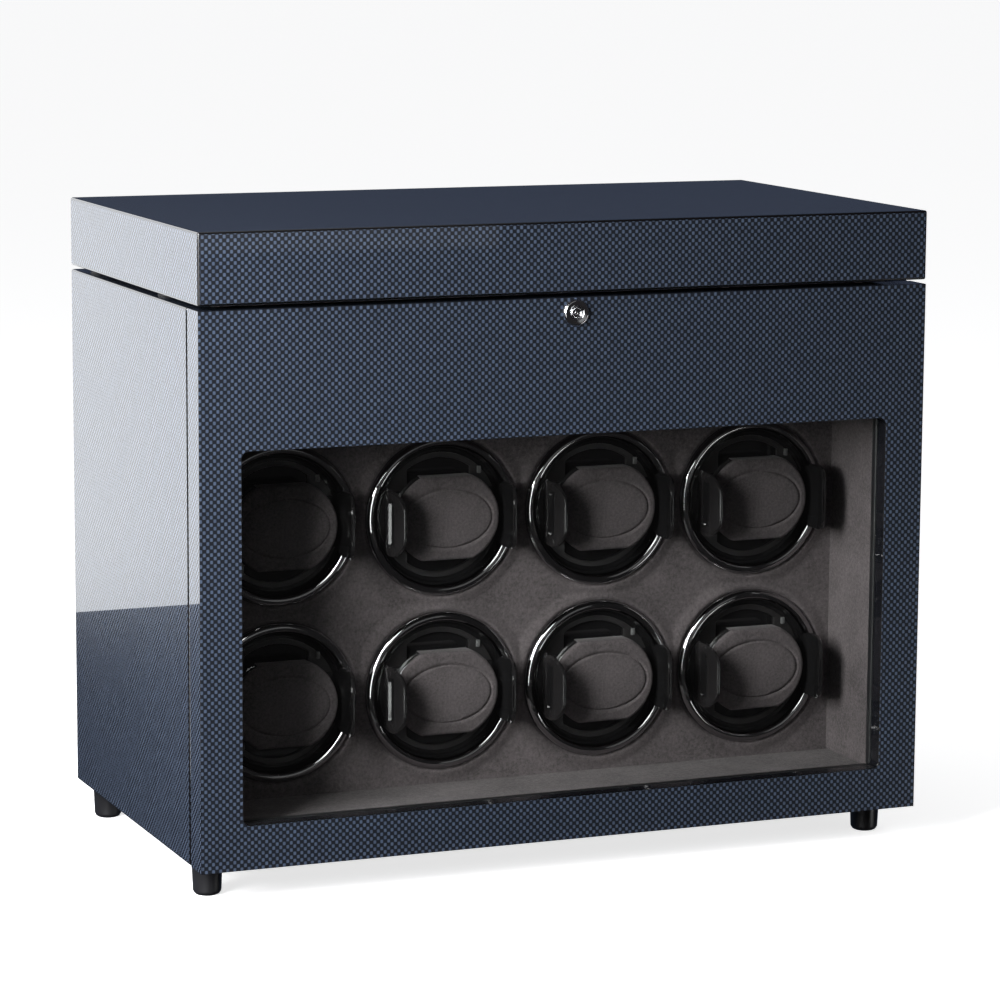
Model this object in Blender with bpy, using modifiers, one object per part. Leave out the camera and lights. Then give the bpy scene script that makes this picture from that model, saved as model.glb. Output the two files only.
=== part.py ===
"""Watch winder box with eight rotors, a glazed side-hung door and a lidded storage compartment.

Lengths are in millimetres and become metres where a mesh or a place is made. Places are measured
from the case's front left corner on the floor: X to the right, Y back from the door's face, Z up.
The frame's origin is the middle of the whole object's footprint, on the floor.
"""

import math

import bmesh
import bpy

MM = 0.001
GAP = 0.3  # clearance between pieces that touch on the real object

# Case
WIDTH = 430.0
DEPTH = 238.0
FOOT_HEIGHT = 20.0
BODY_TOP = 322.2
LID_BOTTOM = 324.6
LID_TOP = 363.6
LID_BOARD = 13.0
LINING = 4.0
BOARD = 15.0
BACK_INSET = 2.0  # the back panel lies this far inside the case's back edges
BACK_THICKNESS = 8.0
EDGE_RADIUS = 1.2

# Door
DOOR_THICKNESS = 18.2
CASE_FRONT = 20.2
WINDOW_SIDE = 23.5
WINDOW_BOTTOM = 44.4
WINDOW_TOP = 247.0
WINDOW_RADIUS = 4.0
REBATE = 7.0
PANE_FRONT = 9.4
PANE_THICKNESS = 3.0

# Rotors
COLUMN_PITCH = 96.4
LOWER_ROW = 93.2
ROW_PITCH = 99.9
PANEL_FACE = 77.0
PANEL_THICKNESS = 8.0
HOLE_RADIUS = 42.0
BEZEL_RADIUS = 45.6
BEZEL_HEIGHT = 4.2
FACE_RADIUS = 36.0
FACE_DEPTH = 3.0
FACE_THICKNESS = 2.5
POCKET_HALF_WIDTH = 18.9
POCKET_RADIUS = 32.5
CUP_RADIUS = 40.8
CUP_WALL = 2.0
CUP_DEPTH = 40.0
PULLEY_RADIUS = 20.0
PULLEY_RIM = 22.6
GROOVE_WIDTH = 9.0
HUB_RADIUS = 9.0
SPINDLE_RADIUS = 2.8
DRIVE_PLATE_FACE = 132.0
DRIVE_PLATE_THICKNESS = 6.0
GEARBOX_RADIUS = 16.0
GEARBOX_LENGTH = 22.0
MOTOR_RADIUS = 12.5
MOTOR_LENGTH = 24.0
BELT_THICKNESS = 1.5
BELT_WIDTH = 4.0

# Watch holders: across and up from the rotor's axis, and forward from the panel's face
HOLDER_HEIGHT = 30.0
CORE_HALF_WIDTH = 15.0
CORE_BACK = -16.0
EAR_ROOT = 31.6
EAR_BULGE = 35.4
EAR_TIP = 31.4
EAR_WALL = 2.0
EAR_REACH = 30.5
EAR_HEIGHT = 37.2
EAR_START = -1.1
EAR_SPREAD = 9.0
EAR_CORNER = 12.5
PAD_HALF_WIDTH = 31.0
PAD_ROUND_HEIGHT = 27.1
PAD_HALF_HEIGHT = 23.6
PAD_BACK = 0.5
PAD_FRONT = 13.5

# Storage compartment, with the control display in its floor
CHAMBER_TOP = 250.0
TRAY_THICKNESS = 8.0
TRAY_FRONT_THICKNESS = 12.0
DISPLAY_LEFT = 310.0
DISPLAY_RIGHT = 390.0
DISPLAY_FRONT = 162.0
DISPLAY_BACK = 204.0
DISPLAY_SUNK = 4.0
DISPLAY_PROUD = 2.5

# Lock
LOCK_HEIGHT = 313.8
ESCUTCHEON_RADIUS = 7.4
ESCUTCHEON_PROUD = 1.7
BARREL_RADIUS = 5.9
PLUG_RADIUS = 3.6
CAM_FRONT = 18.95
CAM_THICKNESS = 1.4
LOCK_POCKET_HALF_WIDTH = 20.0
LOCK_POCKET_BACK = 25.0

# Hinges
KNUCKLE_RADIUS = 2.4
KNUCKLE_OFFSET = 2.9  # from the case's outer face to the pin
PIN_RADIUS = 1.0
LEAF_THICKNESS = 0.6
LEAF_WIDTH = 13.0
LID_HINGE_LENGTH = 360.0
DOOR_HINGE_LENGTH = 250.0
KNUCKLES = 5

# Feet
FOOT_TOP_RADIUS = 8.8
FOOT_BOTTOM_RADIUS = 7.8
FOOT_EDGE = 1.8
FOOT_SIDE = 14.0
FOOT_FRONT = 34.0
FOOT_BACK = 16.0  # from the case's back

# Power inlet
INLET_X = 390.0
INLET_Z = 60.0
INLET_RADIUS = 5.0
INLET_FLANGE = 7.0
SOCKET_RADIUS = 3.0
SOCKET_DEPTH = 8.0

# Circuit board
BOARD_LEFT = 270.0
BOARD_RIGHT = 370.0
BOARD_BOTTOM = 50.0
BOARD_TOP = 120.0
BOARD_STAND_OFF = 12.0  # from its front face to the back panel
BOARD_THICKNESS = 1.6

ROUND_STEPS = 20
SMALL_STEPS = 16

MIDDLE_X = WIDTH / 2
REACH_X = WIDTH + KNUCKLE_OFFSET + KNUCKLE_RADIUS
REACH_Y = DEPTH + KNUCKLE_OFFSET + KNUCKLE_RADIUS
ORIGIN_X = REACH_X / 2
ORIGIN_Y = (REACH_Y - ESCUTCHEON_PROUD) / 2

COLUMNS = [MIDDLE_X + COLUMN_PITCH * (n - 1.5) for n in range(4)]
ROWS = [LOWER_ROW + ROW_PITCH, LOWER_ROW]
LID_PIN = (MIDDLE_X, DEPTH + KNUCKLE_OFFSET, (BODY_TOP + LID_BOTTOM) / 2)
DOOR_PIN_Y = (DOOR_THICKNESS + CASE_FRONT) / 2
DOOR_PIN_Z = (FOOT_HEIGHT + BODY_TOP) / 2
DOOR_PIN = (WIDTH + KNUCKLE_OFFSET, DOOR_PIN_Y, DOOR_PIN_Z)


def clear_scene():
    for thing in list(bpy.data.objects):
        bpy.data.objects.remove(thing, do_unlink=True)


def new_collection(name):
    collection = bpy.data.collections.new(name)
    bpy.context.scene.collection.children.link(collection)
    return collection


clear_scene()
PARTS = new_collection("watch_winder_box")
CUTTERS = new_collection("cutters")


def material(name, colour, roughness, metallic=0.0, alpha=1.0):
    made = bpy.data.materials.new(name)
    made.use_nodes = True
    shader = made.node_tree.nodes["Principled BSDF"]
    shader.inputs["Base Color"].default_value = (*colour, 1.0)
    shader.inputs["Roughness"].default_value = roughness
    shader.inputs["Metallic"].default_value = metallic
    shader.inputs["Alpha"].default_value = alpha
    return made


CARBON = material("blue_carbon_lacquer", (0.018, 0.035, 0.065), 0.12)
BLACK_BOARD = material("black_board", (0.012, 0.012, 0.014), 0.45)
SUEDE = material("grey_suede", (0.085, 0.075, 0.072), 0.95)
GLOSS_PLASTIC = material("gloss_black_plastic", (0.008, 0.008, 0.009), 0.12)
HOLDER_PLASTIC = material("black_spring_plastic", (0.012, 0.012, 0.012), 0.3)
CHROME = material("chrome", (0.75, 0.76, 0.78), 0.1, 1.0)
STEEL = material("steel", (0.45, 0.45, 0.46), 0.35, 1.0)
GLASS = material("glass", (0.9, 0.95, 0.95), 0.02, 0.0, 0.2)
FOOT_PLASTIC = material("satin_black_plastic", (0.012, 0.012, 0.013), 0.5)
BELT_RUBBER = material("belt_rubber", (0.02, 0.02, 0.02), 0.8)
SCREEN = material("display_glass", (0.01, 0.012, 0.016), 0.08)
BOARD_GREEN = material("circuit_board_green", (0.01, 0.09, 0.04), 0.4)


def in_frame(x, y, z):
    return ((x - ORIGIN_X) * MM, (y - ORIGIN_Y) * MM, z * MM)


def axis_empty(name, x, y, z, parent=None):
    """An empty on a joint's axis, which the moving pieces hang from."""
    empty = bpy.data.objects.new(name, None)
    PARTS.objects.link(empty)
    empty.empty_display_size = 0.01
    place(empty, x, y, z, parent)
    return empty


def place(thing, x, y, z, parent=None):
    """Puts a thing at a place in the case, under an unturned parent or under none."""
    spot = in_frame(x, y, z)
    thing.parent = parent
    while parent:
        spot = tuple(a - b for a, b in zip(spot, parent.location))
        parent = parent.parent
    thing.location = spot


def add_object(name, mesh, x, y, z, finish=None, parent=None):
    """A part where it has a finish, and otherwise a hidden helper for a Boolean."""
    made = bpy.data.objects.new(name, mesh)
    place(made, x, y, z, parent)
    if finish:
        PARTS.objects.link(made)
        mesh.materials.append(finish)
    else:
        CUTTERS.objects.link(made)
        made.hide_render = True
        made.display_type = "WIRE"
    return made


def block(name, low, high, finish=None, parent=None, edge=0.0):
    """A box between two corners, with its edges rounded where an edge radius is given."""
    mesh = bpy.data.meshes.new(name)
    shape = bmesh.new()
    size = [(b - a) * MM for a, b in zip(low, high)]
    bmesh.ops.create_cube(shape, size=1.0)
    bmesh.ops.scale(shape, vec=size, verts=shape.verts)
    shape.to_mesh(mesh)
    shape.free()
    middle = [(a + b) / 2 for a, b in zip(low, high)]
    made = add_object(name, mesh, *middle, finish, parent)
    if edge:
        round_edges(made, edge)
    return made


def round_edges(thing, radius, segments=2):
    bevel = thing.modifiers.new("round_edges", "BEVEL")
    bevel.width = radius * MM
    bevel.segments = segments
    bevel.limit_method = "ANGLE"
    bevel.angle_limit = math.radians(50)
    return bevel


def rod(name, x, y, z, radius, length, along="Z", steps=SMALL_STEPS, finish=None, parent=None):
    """A plain cylinder about its middle."""
    mesh = bpy.data.meshes.new(name)
    shape = bmesh.new()
    bmesh.ops.create_cone(
        shape, cap_ends=True, segments=steps,
        radius1=radius * MM, radius2=radius * MM, depth=length * MM,
    )
    shape.to_mesh(mesh)
    shape.free()
    mesh.shade_smooth()
    mesh.set_sharp_from_angle(angle=math.radians(40))
    made = add_object(name, mesh, x, y, z, finish, parent)
    if along == "X":
        made.rotation_euler = (0, math.radians(90), 0)
    if along == "Y":
        made.rotation_euler = (math.radians(90), 0, 0)
    return made


def turned(name, profile, x, y, z, finish, parent=None, forward=True, steps=ROUND_STEPS):
    """A turned solid from (radius, height) points that run down its outer side from the top.

    Where it faces forward its top points to the front, and otherwise it points up.
    """
    mesh = bpy.data.meshes.new(name)
    points = [(radius * MM, 0, height * MM) for radius, height in profile]
    mesh.from_pydata(points, [(n, n + 1) for n in range(len(points) - 1)], [])
    made = add_object(name, mesh, x, y, z, finish, parent)
    spin = made.modifiers.new("turn", "SCREW")
    spin.axis = "Z"
    spin.steps = steps
    spin.render_steps = steps
    spin.use_merge_vertices = True
    spin.merge_threshold = 0.000001
    spin.use_smooth_shade = True
    if forward:
        made.rotation_euler = (math.radians(90), 0, 0)
    return made


def combine(thing, other, operation):
    step = thing.modifiers.new(other.name, "BOOLEAN")
    step.operation = operation
    step.solver = "EXACT"
    step.object = other


def cut(thing, *cutters):
    for cutter in cutters:
        combine(thing, cutter, "DIFFERENCE")


def join(thing, *others):
    for other in others:
        combine(thing, other, "UNION")


def arc(centre_x, centre_y, radius_x, radius_y, start, end, count):
    """Points on an elliptical arc between two angles in degrees, both ends included."""
    points = []
    for n in range(count):
        angle = math.radians(start + (end - start) * n / (count - 1))
        across = centre_x + radius_x * math.cos(angle)
        points.append((across, centre_y + radius_y * math.sin(angle)))
    return points


def rounded_rectangle(half_width, half_height, radius, count=4):
    """A rectangle's outline about its centre, with round corners."""
    points = []
    for quarter, (sx, sy) in enumerate([(1, 1), (-1, 1), (-1, -1), (1, -1)]):
        middle = (sx * (half_width - radius), sy * (half_height - radius))
        points += arc(*middle, radius, radius, 90 * quarter, 90 * quarter + 90, count)
    return points


def sheet_mesh(name, loops, thickness):
    """A flat mesh in the XY plane between closed outlines, extruded to both sides of the plane."""
    curve = bpy.data.curves.new(name, "CURVE")
    curve.dimensions = "2D"
    curve.fill_mode = "BOTH"
    curve.extrude = thickness / 2 * MM
    for loop in loops:
        spline = curve.splines.new("POLY")
        spline.points.add(len(loop) - 1)
        for point, (across, up) in zip(spline.points, loop):
            point.co = (across * MM, up * MM, 0, 1)
        spline.use_cyclic_u = True
    guide = bpy.data.objects.new(name + "_guide", curve)
    bpy.context.scene.collection.objects.link(guide)
    graph = bpy.context.evaluated_depsgraph_get()
    mesh = bpy.data.meshes.new_from_object(guide.evaluated_get(graph))
    bpy.data.objects.remove(guide, do_unlink=True)
    bpy.data.curves.remove(curve)
    shape = bmesh.new()
    shape.from_mesh(mesh)
    bmesh.ops.remove_doubles(shape, verts=shape.verts, dist=0.000001)
    bmesh.ops.recalc_face_normals(shape, faces=shape.faces)
    shape.to_mesh(mesh)
    shape.free()
    return mesh


def flat_piece(name, loops, thickness, x, y, z, finish=None, parent=None, facing="front"):
    """A flat piece centred on its thickness, whose outline faces the front or lies level."""
    made = add_object(name, sheet_mesh(name, loops, thickness), x, y, z, finish, parent)
    if facing == "front":
        made.rotation_euler = (math.radians(90), 0, 0)
    return made


# ---- Case


def make_case():
    inside = BOARD + GAP
    back_face = DEPTH - BACK_INSET
    back_front = back_face - BACK_THICKNESS
    for side, left in (("left", 0.0), ("right", WIDTH - BOARD)):
        low = (left, CASE_FRONT, FOOT_HEIGHT)
        high = (left + BOARD, DEPTH, BODY_TOP)
        block(side + "_side_panel", low, high, CARBON, edge=EDGE_RADIUS)
    low = (inside, CASE_FRONT, FOOT_HEIGHT)
    high = (WIDTH - inside, DEPTH, FOOT_HEIGHT + BOARD)
    block("bottom_panel", low, high, CARBON, edge=EDGE_RADIUS)
    low = (inside, back_front, FOOT_HEIGHT + BOARD + GAP)
    back = block("back_panel", low, (WIDTH - inside, back_face, BODY_TOP), BLACK_BOARD)
    hole = rod("inlet_hole", INLET_X, back_front, INLET_Z, INLET_RADIUS + GAP, 40, "Y")
    cut(back, hole)
    make_tray(inside, back_front - GAP)


def make_tray(inside, back):
    """The storage compartment's floor, with its front wall standing on it."""
    low = (inside, CASE_FRONT + GAP, CHAMBER_TOP)
    high = (WIDTH - inside, back, CHAMBER_TOP + TRAY_THICKNESS)
    tray = block("storage_tray", low, high, SUEDE)
    low = (inside, CASE_FRONT + GAP, CHAMBER_TOP + TRAY_THICKNESS / 2)
    high = (WIDTH - inside, CASE_FRONT + TRAY_FRONT_THICKNESS, BODY_TOP)
    join(tray, block("tray_front_wall", low, high))
    reach = LOCK_POCKET_HALF_WIDTH
    low = (MIDDLE_X - reach, 0, LOCK_HEIGHT - reach)
    pocket = block("lock_pocket", low, (MIDDLE_X + reach, LOCK_POCKET_BACK, LID_TOP))
    display = block("display_recess", *display_corners(GAP))
    cut(tray, pocket, display)


def display_corners(clearance):
    """The corners of the display module, let into the storage compartment's floor at the right."""
    floor = CHAMBER_TOP + TRAY_THICKNESS
    low = (DISPLAY_LEFT, DISPLAY_FRONT, floor - DISPLAY_SUNK)
    high = (DISPLAY_RIGHT, DISPLAY_BACK, floor + DISPLAY_PROUD)
    return [n - clearance for n in low], [n + clearance for n in high]


def make_feet():
    profile = [
        (0, 0),
        (FOOT_TOP_RADIUS, 0),
        (FOOT_BOTTOM_RADIUS, FOOT_EDGE - FOOT_HEIGHT),
        (FOOT_BOTTOM_RADIUS - FOOT_EDGE, GAP - FOOT_HEIGHT),
        (0, GAP - FOOT_HEIGHT),
    ]
    for depth, y in (("front", FOOT_FRONT), ("rear", DEPTH - FOOT_BACK)):
        for side, x in (("left", FOOT_SIDE), ("right", WIDTH - FOOT_SIDE)):
            name = f"foot_{depth}_{side}"
            turned(name, profile, x, y, FOOT_HEIGHT - GAP, FOOT_PLASTIC, None, False, 20)


# ---- Lid


def make_lid(lid_axis):
    shell = block("lid_shell", (0, 0, LID_BOTTOM), (WIDTH, DEPTH, LID_TOP), CARBON, lid_axis)
    hollow = block(
        "lid_hollow",
        (BOARD, BOARD, LID_BOTTOM - 20),
        (WIDTH - BOARD, DEPTH - BOARD, LID_TOP - LID_BOARD),
    )
    cut(shell, hollow)
    round_edges(shell, EDGE_RADIUS)
    inside = BOARD + 2
    ceiling = LID_TOP - LID_BOARD
    block(
        "lid_lining",
        (inside, inside, ceiling - LINING),
        (WIDTH - inside, DEPTH - inside, ceiling - GAP),
        SUEDE, lid_axis, 1.5,
    )
    make_strike(lid_axis)


def make_strike(lid_axis):
    """A plate on the lid's inner face, with a lip under it that the cam's hook sweeps over."""
    front = BOARD + GAP
    bottom = LID_BOTTOM + 0.6
    half_width, half_lip = 9.0, 4.0
    low = (MIDDLE_X - half_width, front, bottom)
    high = (MIDDLE_X + half_width, front + 1.2, LID_BOTTOM + 22)
    plate = block("strike_plate", low, high, CHROME, lid_axis)
    low = (MIDDLE_X - half_lip, front + 0.6, bottom)
    high = (MIDDLE_X + half_lip, CAM_FRONT + CAM_THICKNESS + 0.6, bottom + 1.0)
    join(plate, block("strike_lip", low, high))


# ---- Door


def make_door(door_axis):
    frame = block(
        "door_frame", (0, 0, FOOT_HEIGHT), (WIDTH, DOOR_THICKNESS, BODY_TOP), CARBON, door_axis
    )
    middle_z = (WINDOW_BOTTOM + WINDOW_TOP) / 2
    half_width = MIDDLE_X - WINDOW_SIDE
    half_height = (WINDOW_TOP - WINDOW_BOTTOM) / 2
    opening = flat_piece(
        "window_opening",
        [rounded_rectangle(half_width, half_height, WINDOW_RADIUS)],
        60, MIDDLE_X, DOOR_THICKNESS / 2, middle_z,
    )
    rebate = block(
        "window_rebate",
        (WINDOW_SIDE - REBATE, PANE_FRONT, WINDOW_BOTTOM - REBATE),
        (WIDTH - WINDOW_SIDE + REBATE, DOOR_THICKNESS + 20, WINDOW_TOP + REBATE),
    )
    lock_hole = rod(
        "lock_hole", MIDDLE_X, DOOR_THICKNESS / 2, LOCK_HEIGHT, BARREL_RADIUS + GAP, 60, "Y"
    )
    cut(frame, opening, rebate, lock_hole)
    round_edges(frame, EDGE_RADIUS)
    edge = REBATE - GAP
    block(
        "window_pane",
        (WINDOW_SIDE - edge, PANE_FRONT + GAP, WINDOW_BOTTOM - edge),
        (WIDTH - WINDOW_SIDE + edge, PANE_FRONT + GAP + PANE_THICKNESS, WINDOW_TOP + edge),
        GLASS, door_axis,
    )


# ---- Lock


def make_lock(door_axis, lock_axis):
    """Heights in the profiles are measured forward from the door's face."""
    collar = ESCUTCHEON_PROUD
    back = -DOOR_THICKNESS - 0.3
    bore = PLUG_RADIUS + 0.25
    profile = [
        (bore, collar - 0.5),
        (ESCUTCHEON_RADIUS - 1.6, collar),
        (ESCUTCHEON_RADIUS, collar - 0.9),
        (ESCUTCHEON_RADIUS, GAP / 2),
        (BARREL_RADIUS, GAP / 2),
        (BARREL_RADIUS, back),
        (bore, back),
        (bore, collar - 0.5),
    ]
    turned("lock_housing", profile, MIDDLE_X, 0, LOCK_HEIGHT, CHROME, door_axis)
    tail = 1.9
    plug_profile = [
        (0, collar - 1.0),
        (PLUG_RADIUS - 0.6, collar - 0.5),
        (PLUG_RADIUS, collar - 1.0),
        (PLUG_RADIUS, back - 0.2),
        (tail, back - 0.2),
        (tail, -CAM_FRONT - CAM_THICKNESS - 1.0),
        (0, -CAM_FRONT - CAM_THICKNESS - 1.0),
    ]
    plug = turned(
        "lock_cylinder", plug_profile, MIDDLE_X, 0, LOCK_HEIGHT, CHROME, lock_axis, steps=16
    )
    slot = block(
        "key_slot",
        (MIDDLE_X - 0.45, -5, LOCK_HEIGHT - 2.3),
        (MIDDLE_X + 0.45, 5, LOCK_HEIGHT + 2.3),
    )
    cut(plug, slot)
    make_cam(lock_axis, tail + 0.3)


def make_cam(lock_axis, bore):
    """A flat arm whose hooked end is an arc about the lock's axis; it lies level while unlocked."""
    arm = 215.0
    hook_start = 170.0
    head, inner, outer = 4.6, 13.9, 16.8
    half_width = 2.2
    spread = math.degrees(math.asin(half_width / outer))
    inner_spread = math.degrees(math.asin(half_width / inner))
    waist = math.degrees(math.asin(half_width / head))
    outline = arc(0, 0, head, head, arm + waist, arm + 360 - waist, 14)
    outline += arc(0, 0, inner, inner, arm - inner_spread, hook_start, 6)
    outline += arc(0, 0, outer, outer, hook_start, arm + spread, 8)
    hole = arc(0, 0, bore, bore, 0, 330, 12)
    y = CAM_FRONT + CAM_THICKNESS / 2
    flat_piece(
        "lock_cam", [outline, hole], CAM_THICKNESS, MIDDLE_X, y, LOCK_HEIGHT, STEEL, lock_axis
    )


# ---- Hinges


def make_hinge(name, pin, along, length, fixed_side, moving_side, moving_parent):
    """A continuous hinge: two leaves in the gap between the pieces, and their pin.

    along is the pin's direction. A side is (low, high) of a leaf across the gap. The case's leaf
    holds the odd knuckles, and the moving piece's leaf holds the even ones between them.
    """
    pitch = length / KNUCKLES
    for owner, side, first, parent in (
        ("case_leaf", fixed_side, 0, None),
        (name.split("_")[0] + "_leaf", moving_side, 1, moving_parent),
    ):
        title = f"{name}_{owner}"
        start = -length / 2
        knuckle_face = KNUCKLE_OFFSET - KNUCKLE_RADIUS
        plate = hinge_box(title, pin, along, side, (start, start + length),
                          (-KNUCKLE_OFFSET - LEAF_WIDTH, -KNUCKLE_OFFSET + knuckle_face - 0.4),
                          STEEL, parent)
        for n in range(first, KNUCKLES, 2):
            low = start + n * pitch + 0.4
            high = start + (n + 1) * pitch - 0.4
            tab = hinge_box(f"{title}_tab_{n}", pin, along, side, (low, high),
                            (-KNUCKLE_OFFSET - 1, -PIN_RADIUS - 0.6))
            barrel = hinge_rod(f"{title}_knuckle_{n}", pin, along, (low, high), KNUCKLE_RADIUS)
            join(plate, tab, barrel)
        bore = hinge_rod(f"{title}_bore", pin, along, (start - 5, start + length + 5),
                         PIN_RADIUS + 0.3)
        cut(plate, bore)
    hinge_rod(name + "_pin", pin, along, (-length / 2, length / 2), PIN_RADIUS, STEEL)


def hinge_box(name, pin, along, side, stretch, across, finish=None, parent=None):
    """A box along a hinge: side is its place across the gap, across is how far in from the pin."""
    if along == "X":
        low = (pin[0] + stretch[0], pin[1] + across[0], side[0])
        high = (pin[0] + stretch[1], pin[1] + across[1], side[1])
    else:
        low = (pin[0] + across[0], side[0], pin[2] + stretch[0])
        high = (pin[0] + across[1], side[1], pin[2] + stretch[1])
    return block(name, low, high, finish, parent)


def hinge_rod(name, pin, along, stretch, radius, finish=None):
    middle = list(pin)
    middle["XYZ".index(along)] += sum(stretch) / 2
    return rod(name, *middle, radius, stretch[1] - stretch[0], along, 12, finish)


def make_hinges(lid_axis, door_axis):
    inset = 0.3
    thick = LEAF_THICKNESS
    make_hinge("lid_hinge", LID_PIN, "X", LID_HINGE_LENGTH,
               (BODY_TOP + inset, BODY_TOP + inset + thick),
               (LID_BOTTOM - inset - thick, LID_BOTTOM - inset), lid_axis)
    inset = 0.2
    make_hinge("door_hinge", DOOR_PIN, "Z", DOOR_HINGE_LENGTH,
               (CASE_FRONT - inset - thick, CASE_FRONT - inset),
               (DOOR_THICKNESS + inset, DOOR_THICKNESS + inset + thick), door_axis)


# ---- Rotors


def cup_profile():
    """The cup with its bezel, face, hub and pulley: heights run forward from the panel's face."""
    back = PANEL_FACE - DRIVE_PLATE_FACE + 0.5
    groove_end = -CUP_DEPTH - GROOVE_WIDTH
    rim_end = groove_end - 1.5
    return [
        (0, -FACE_DEPTH),
        (FACE_RADIUS, -FACE_DEPTH),
        (BEZEL_RADIUS - 5.6, BEZEL_HEIGHT - 1.2),
        (BEZEL_RADIUS - 3.6, BEZEL_HEIGHT),
        (BEZEL_RADIUS - 1.0, BEZEL_HEIGHT - 1.4),
        (BEZEL_RADIUS, GAP + 0.2),
        (CUP_RADIUS, GAP + 0.2),
        (CUP_RADIUS - 1.0, -CUP_DEPTH),
        (PULLEY_RADIUS, -CUP_DEPTH),
        (PULLEY_RADIUS, groove_end),
        (PULLEY_RIM, groove_end),
        (PULLEY_RIM, rim_end),
        (HUB_RADIUS, rim_end),
        (HUB_RADIUS, back),
        (SPINDLE_RADIUS + GAP, back),
        (SPINDLE_RADIUS + GAP, -CUP_DEPTH),
        (0, -CUP_DEPTH),
    ]


def pocket_outline():
    """An upright slot with round ends, where the strap passes behind the pad."""
    edge = math.degrees(math.acos(POCKET_HALF_WIDTH / POCKET_RADIUS))
    top = arc(0, 0, POCKET_RADIUS, POCKET_RADIUS, edge, 180 - edge, 7)
    bottom = arc(0, 0, POCKET_RADIUS, POCKET_RADIUS, 180 + edge, 360 - edge, 7)
    return top + bottom


def ear_curve(offset, count=7):
    """Points up the right ear, seen from above, at an offset outwards from its inner face."""
    points = []
    for n in range(count):
        part = n / (count - 1)
        lean = EAR_ROOT + (EAR_TIP - EAR_ROOT) * part
        belly = (EAR_BULGE - (EAR_ROOT + EAR_TIP) / 2) * math.sin(math.pi * part)
        points.append((lean + belly + offset, EAR_REACH * part))
    return points


def holder_outline():
    """A holder seen from above: a base with the core behind it and an ear at each side."""
    base_back, base_front = -FACE_DEPTH + GAP, -0.4
    right = [
        (CORE_HALF_WIDTH, CORE_BACK),
        (CORE_HALF_WIDTH, base_back),
        (EAR_ROOT - 1.0, base_back),
    ]
    right += ear_curve(EAR_WALL)
    right += reversed(ear_curve(0))
    right.append((EAR_ROOT, base_front))
    left = [(-across, forward) for across, forward in reversed(right)]
    return right + left


def ear_side_outline():
    """The holder seen from the side, forward and up: its ears grow taller in front of the bezel."""
    half = HOLDER_HEIGHT / 2
    tall = EAR_HEIGHT / 2
    bend = EAR_REACH + GAP - EAR_CORNER
    bottom = arc(bend, EAR_CORNER - tall, EAR_CORNER, EAR_CORNER, -90, 0, 6)
    top = arc(bend, tall - EAR_CORNER, EAR_CORNER, EAR_CORNER, 0, 90, 6)
    above = [(EAR_SPREAD, tall), (EAR_START, half), (CORE_BACK - 5, half)]
    below = [(CORE_BACK - 5, -half), (EAR_START, -half), (EAR_SPREAD, -tall)]
    return bottom + top + above + below


def pad_outline():
    """An oval with a flat top and a flat bottom."""
    edge = math.degrees(math.asin(PAD_HALF_HEIGHT / PAD_ROUND_HEIGHT))
    right = arc(0, 0, PAD_HALF_WIDTH, PAD_ROUND_HEIGHT, -edge, edge, 12)
    left = arc(0, 0, PAD_HALF_WIDTH, PAD_ROUND_HEIGHT, 180 - edge, 180 + edge, 12)
    return right + left


def make_rotors():
    for row, z in enumerate(ROWS):
        for column, x in enumerate(COLUMNS):
            make_rotor(row * 4 + column + 1, x, z)


def make_rotor(number, x, z):
    rotor_axis = axis_empty(f"rotor_axis_{number}", x, PANEL_FACE, z)
    cup = turned(
        f"rotor_cup_{number}", cup_profile(), x, PANEL_FACE, z, GLOSS_PLASTIC, rotor_axis
    )
    hollow_front = -FACE_DEPTH - FACE_THICKNESS
    hollow_back = -CUP_DEPTH + CUP_WALL
    hollow = rod(
        f"cup_hollow_{number}", x, PANEL_FACE - (hollow_front + hollow_back) / 2, z,
        CUP_RADIUS - CUP_WALL - 1.5, hollow_front - hollow_back, "Y", ROUND_STEPS,
    )
    pocket = flat_piece(
        f"pocket_{number}", [pocket_outline()], 30, x, PANEL_FACE + FACE_DEPTH, z
    )
    cut(cup, hollow, pocket)
    holder_axis = axis_empty(f"holder_axis_{number}", x, PANEL_FACE, z, rotor_axis)
    make_holder(number, x, z, holder_axis)
    pad = flat_piece(
        f"holder_pad_{number}", [pad_outline()], PAD_FRONT - PAD_BACK,
        x, PANEL_FACE - (PAD_FRONT + PAD_BACK) / 2, z, SUEDE, holder_axis,
    )
    round_edges(pad, 1.6, 1)


def make_holder(number, x, z, holder_axis):
    """Its outline is seen from above, and the ears' round tips come from the side outline."""
    holder = flat_piece(
        f"watch_holder_{number}", [holder_outline()], EAR_HEIGHT + 4,
        x, PANEL_FACE, z, HOLDER_PLASTIC, holder_axis, "level",
    )
    holder.rotation_euler = (math.radians(180), 0, 0)
    sides = flat_piece(f"holder_sides_{number}", [ear_side_outline()], 120, x, PANEL_FACE, z)
    sides.rotation_euler = (math.radians(90), 0, math.radians(-90))
    combine(holder, sides, "INTERSECT")


def make_rotor_panel():
    inside = BOARD + GAP
    low = (inside, PANEL_FACE, FOOT_HEIGHT + BOARD + GAP)
    high = (WIDTH - inside, PANEL_FACE + PANEL_THICKNESS, CHAMBER_TOP - GAP)
    panel = block("rotor_panel", low, high, SUEDE)
    for row, z in enumerate(ROWS):
        for column, x in enumerate(COLUMNS):
            name = f"rotor_hole_{row}_{column}"
            cut(panel, rod(name, x, PANEL_FACE, z, HOLE_RADIUS, 60, "Y", ROUND_STEPS))


# ---- Drive


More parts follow.
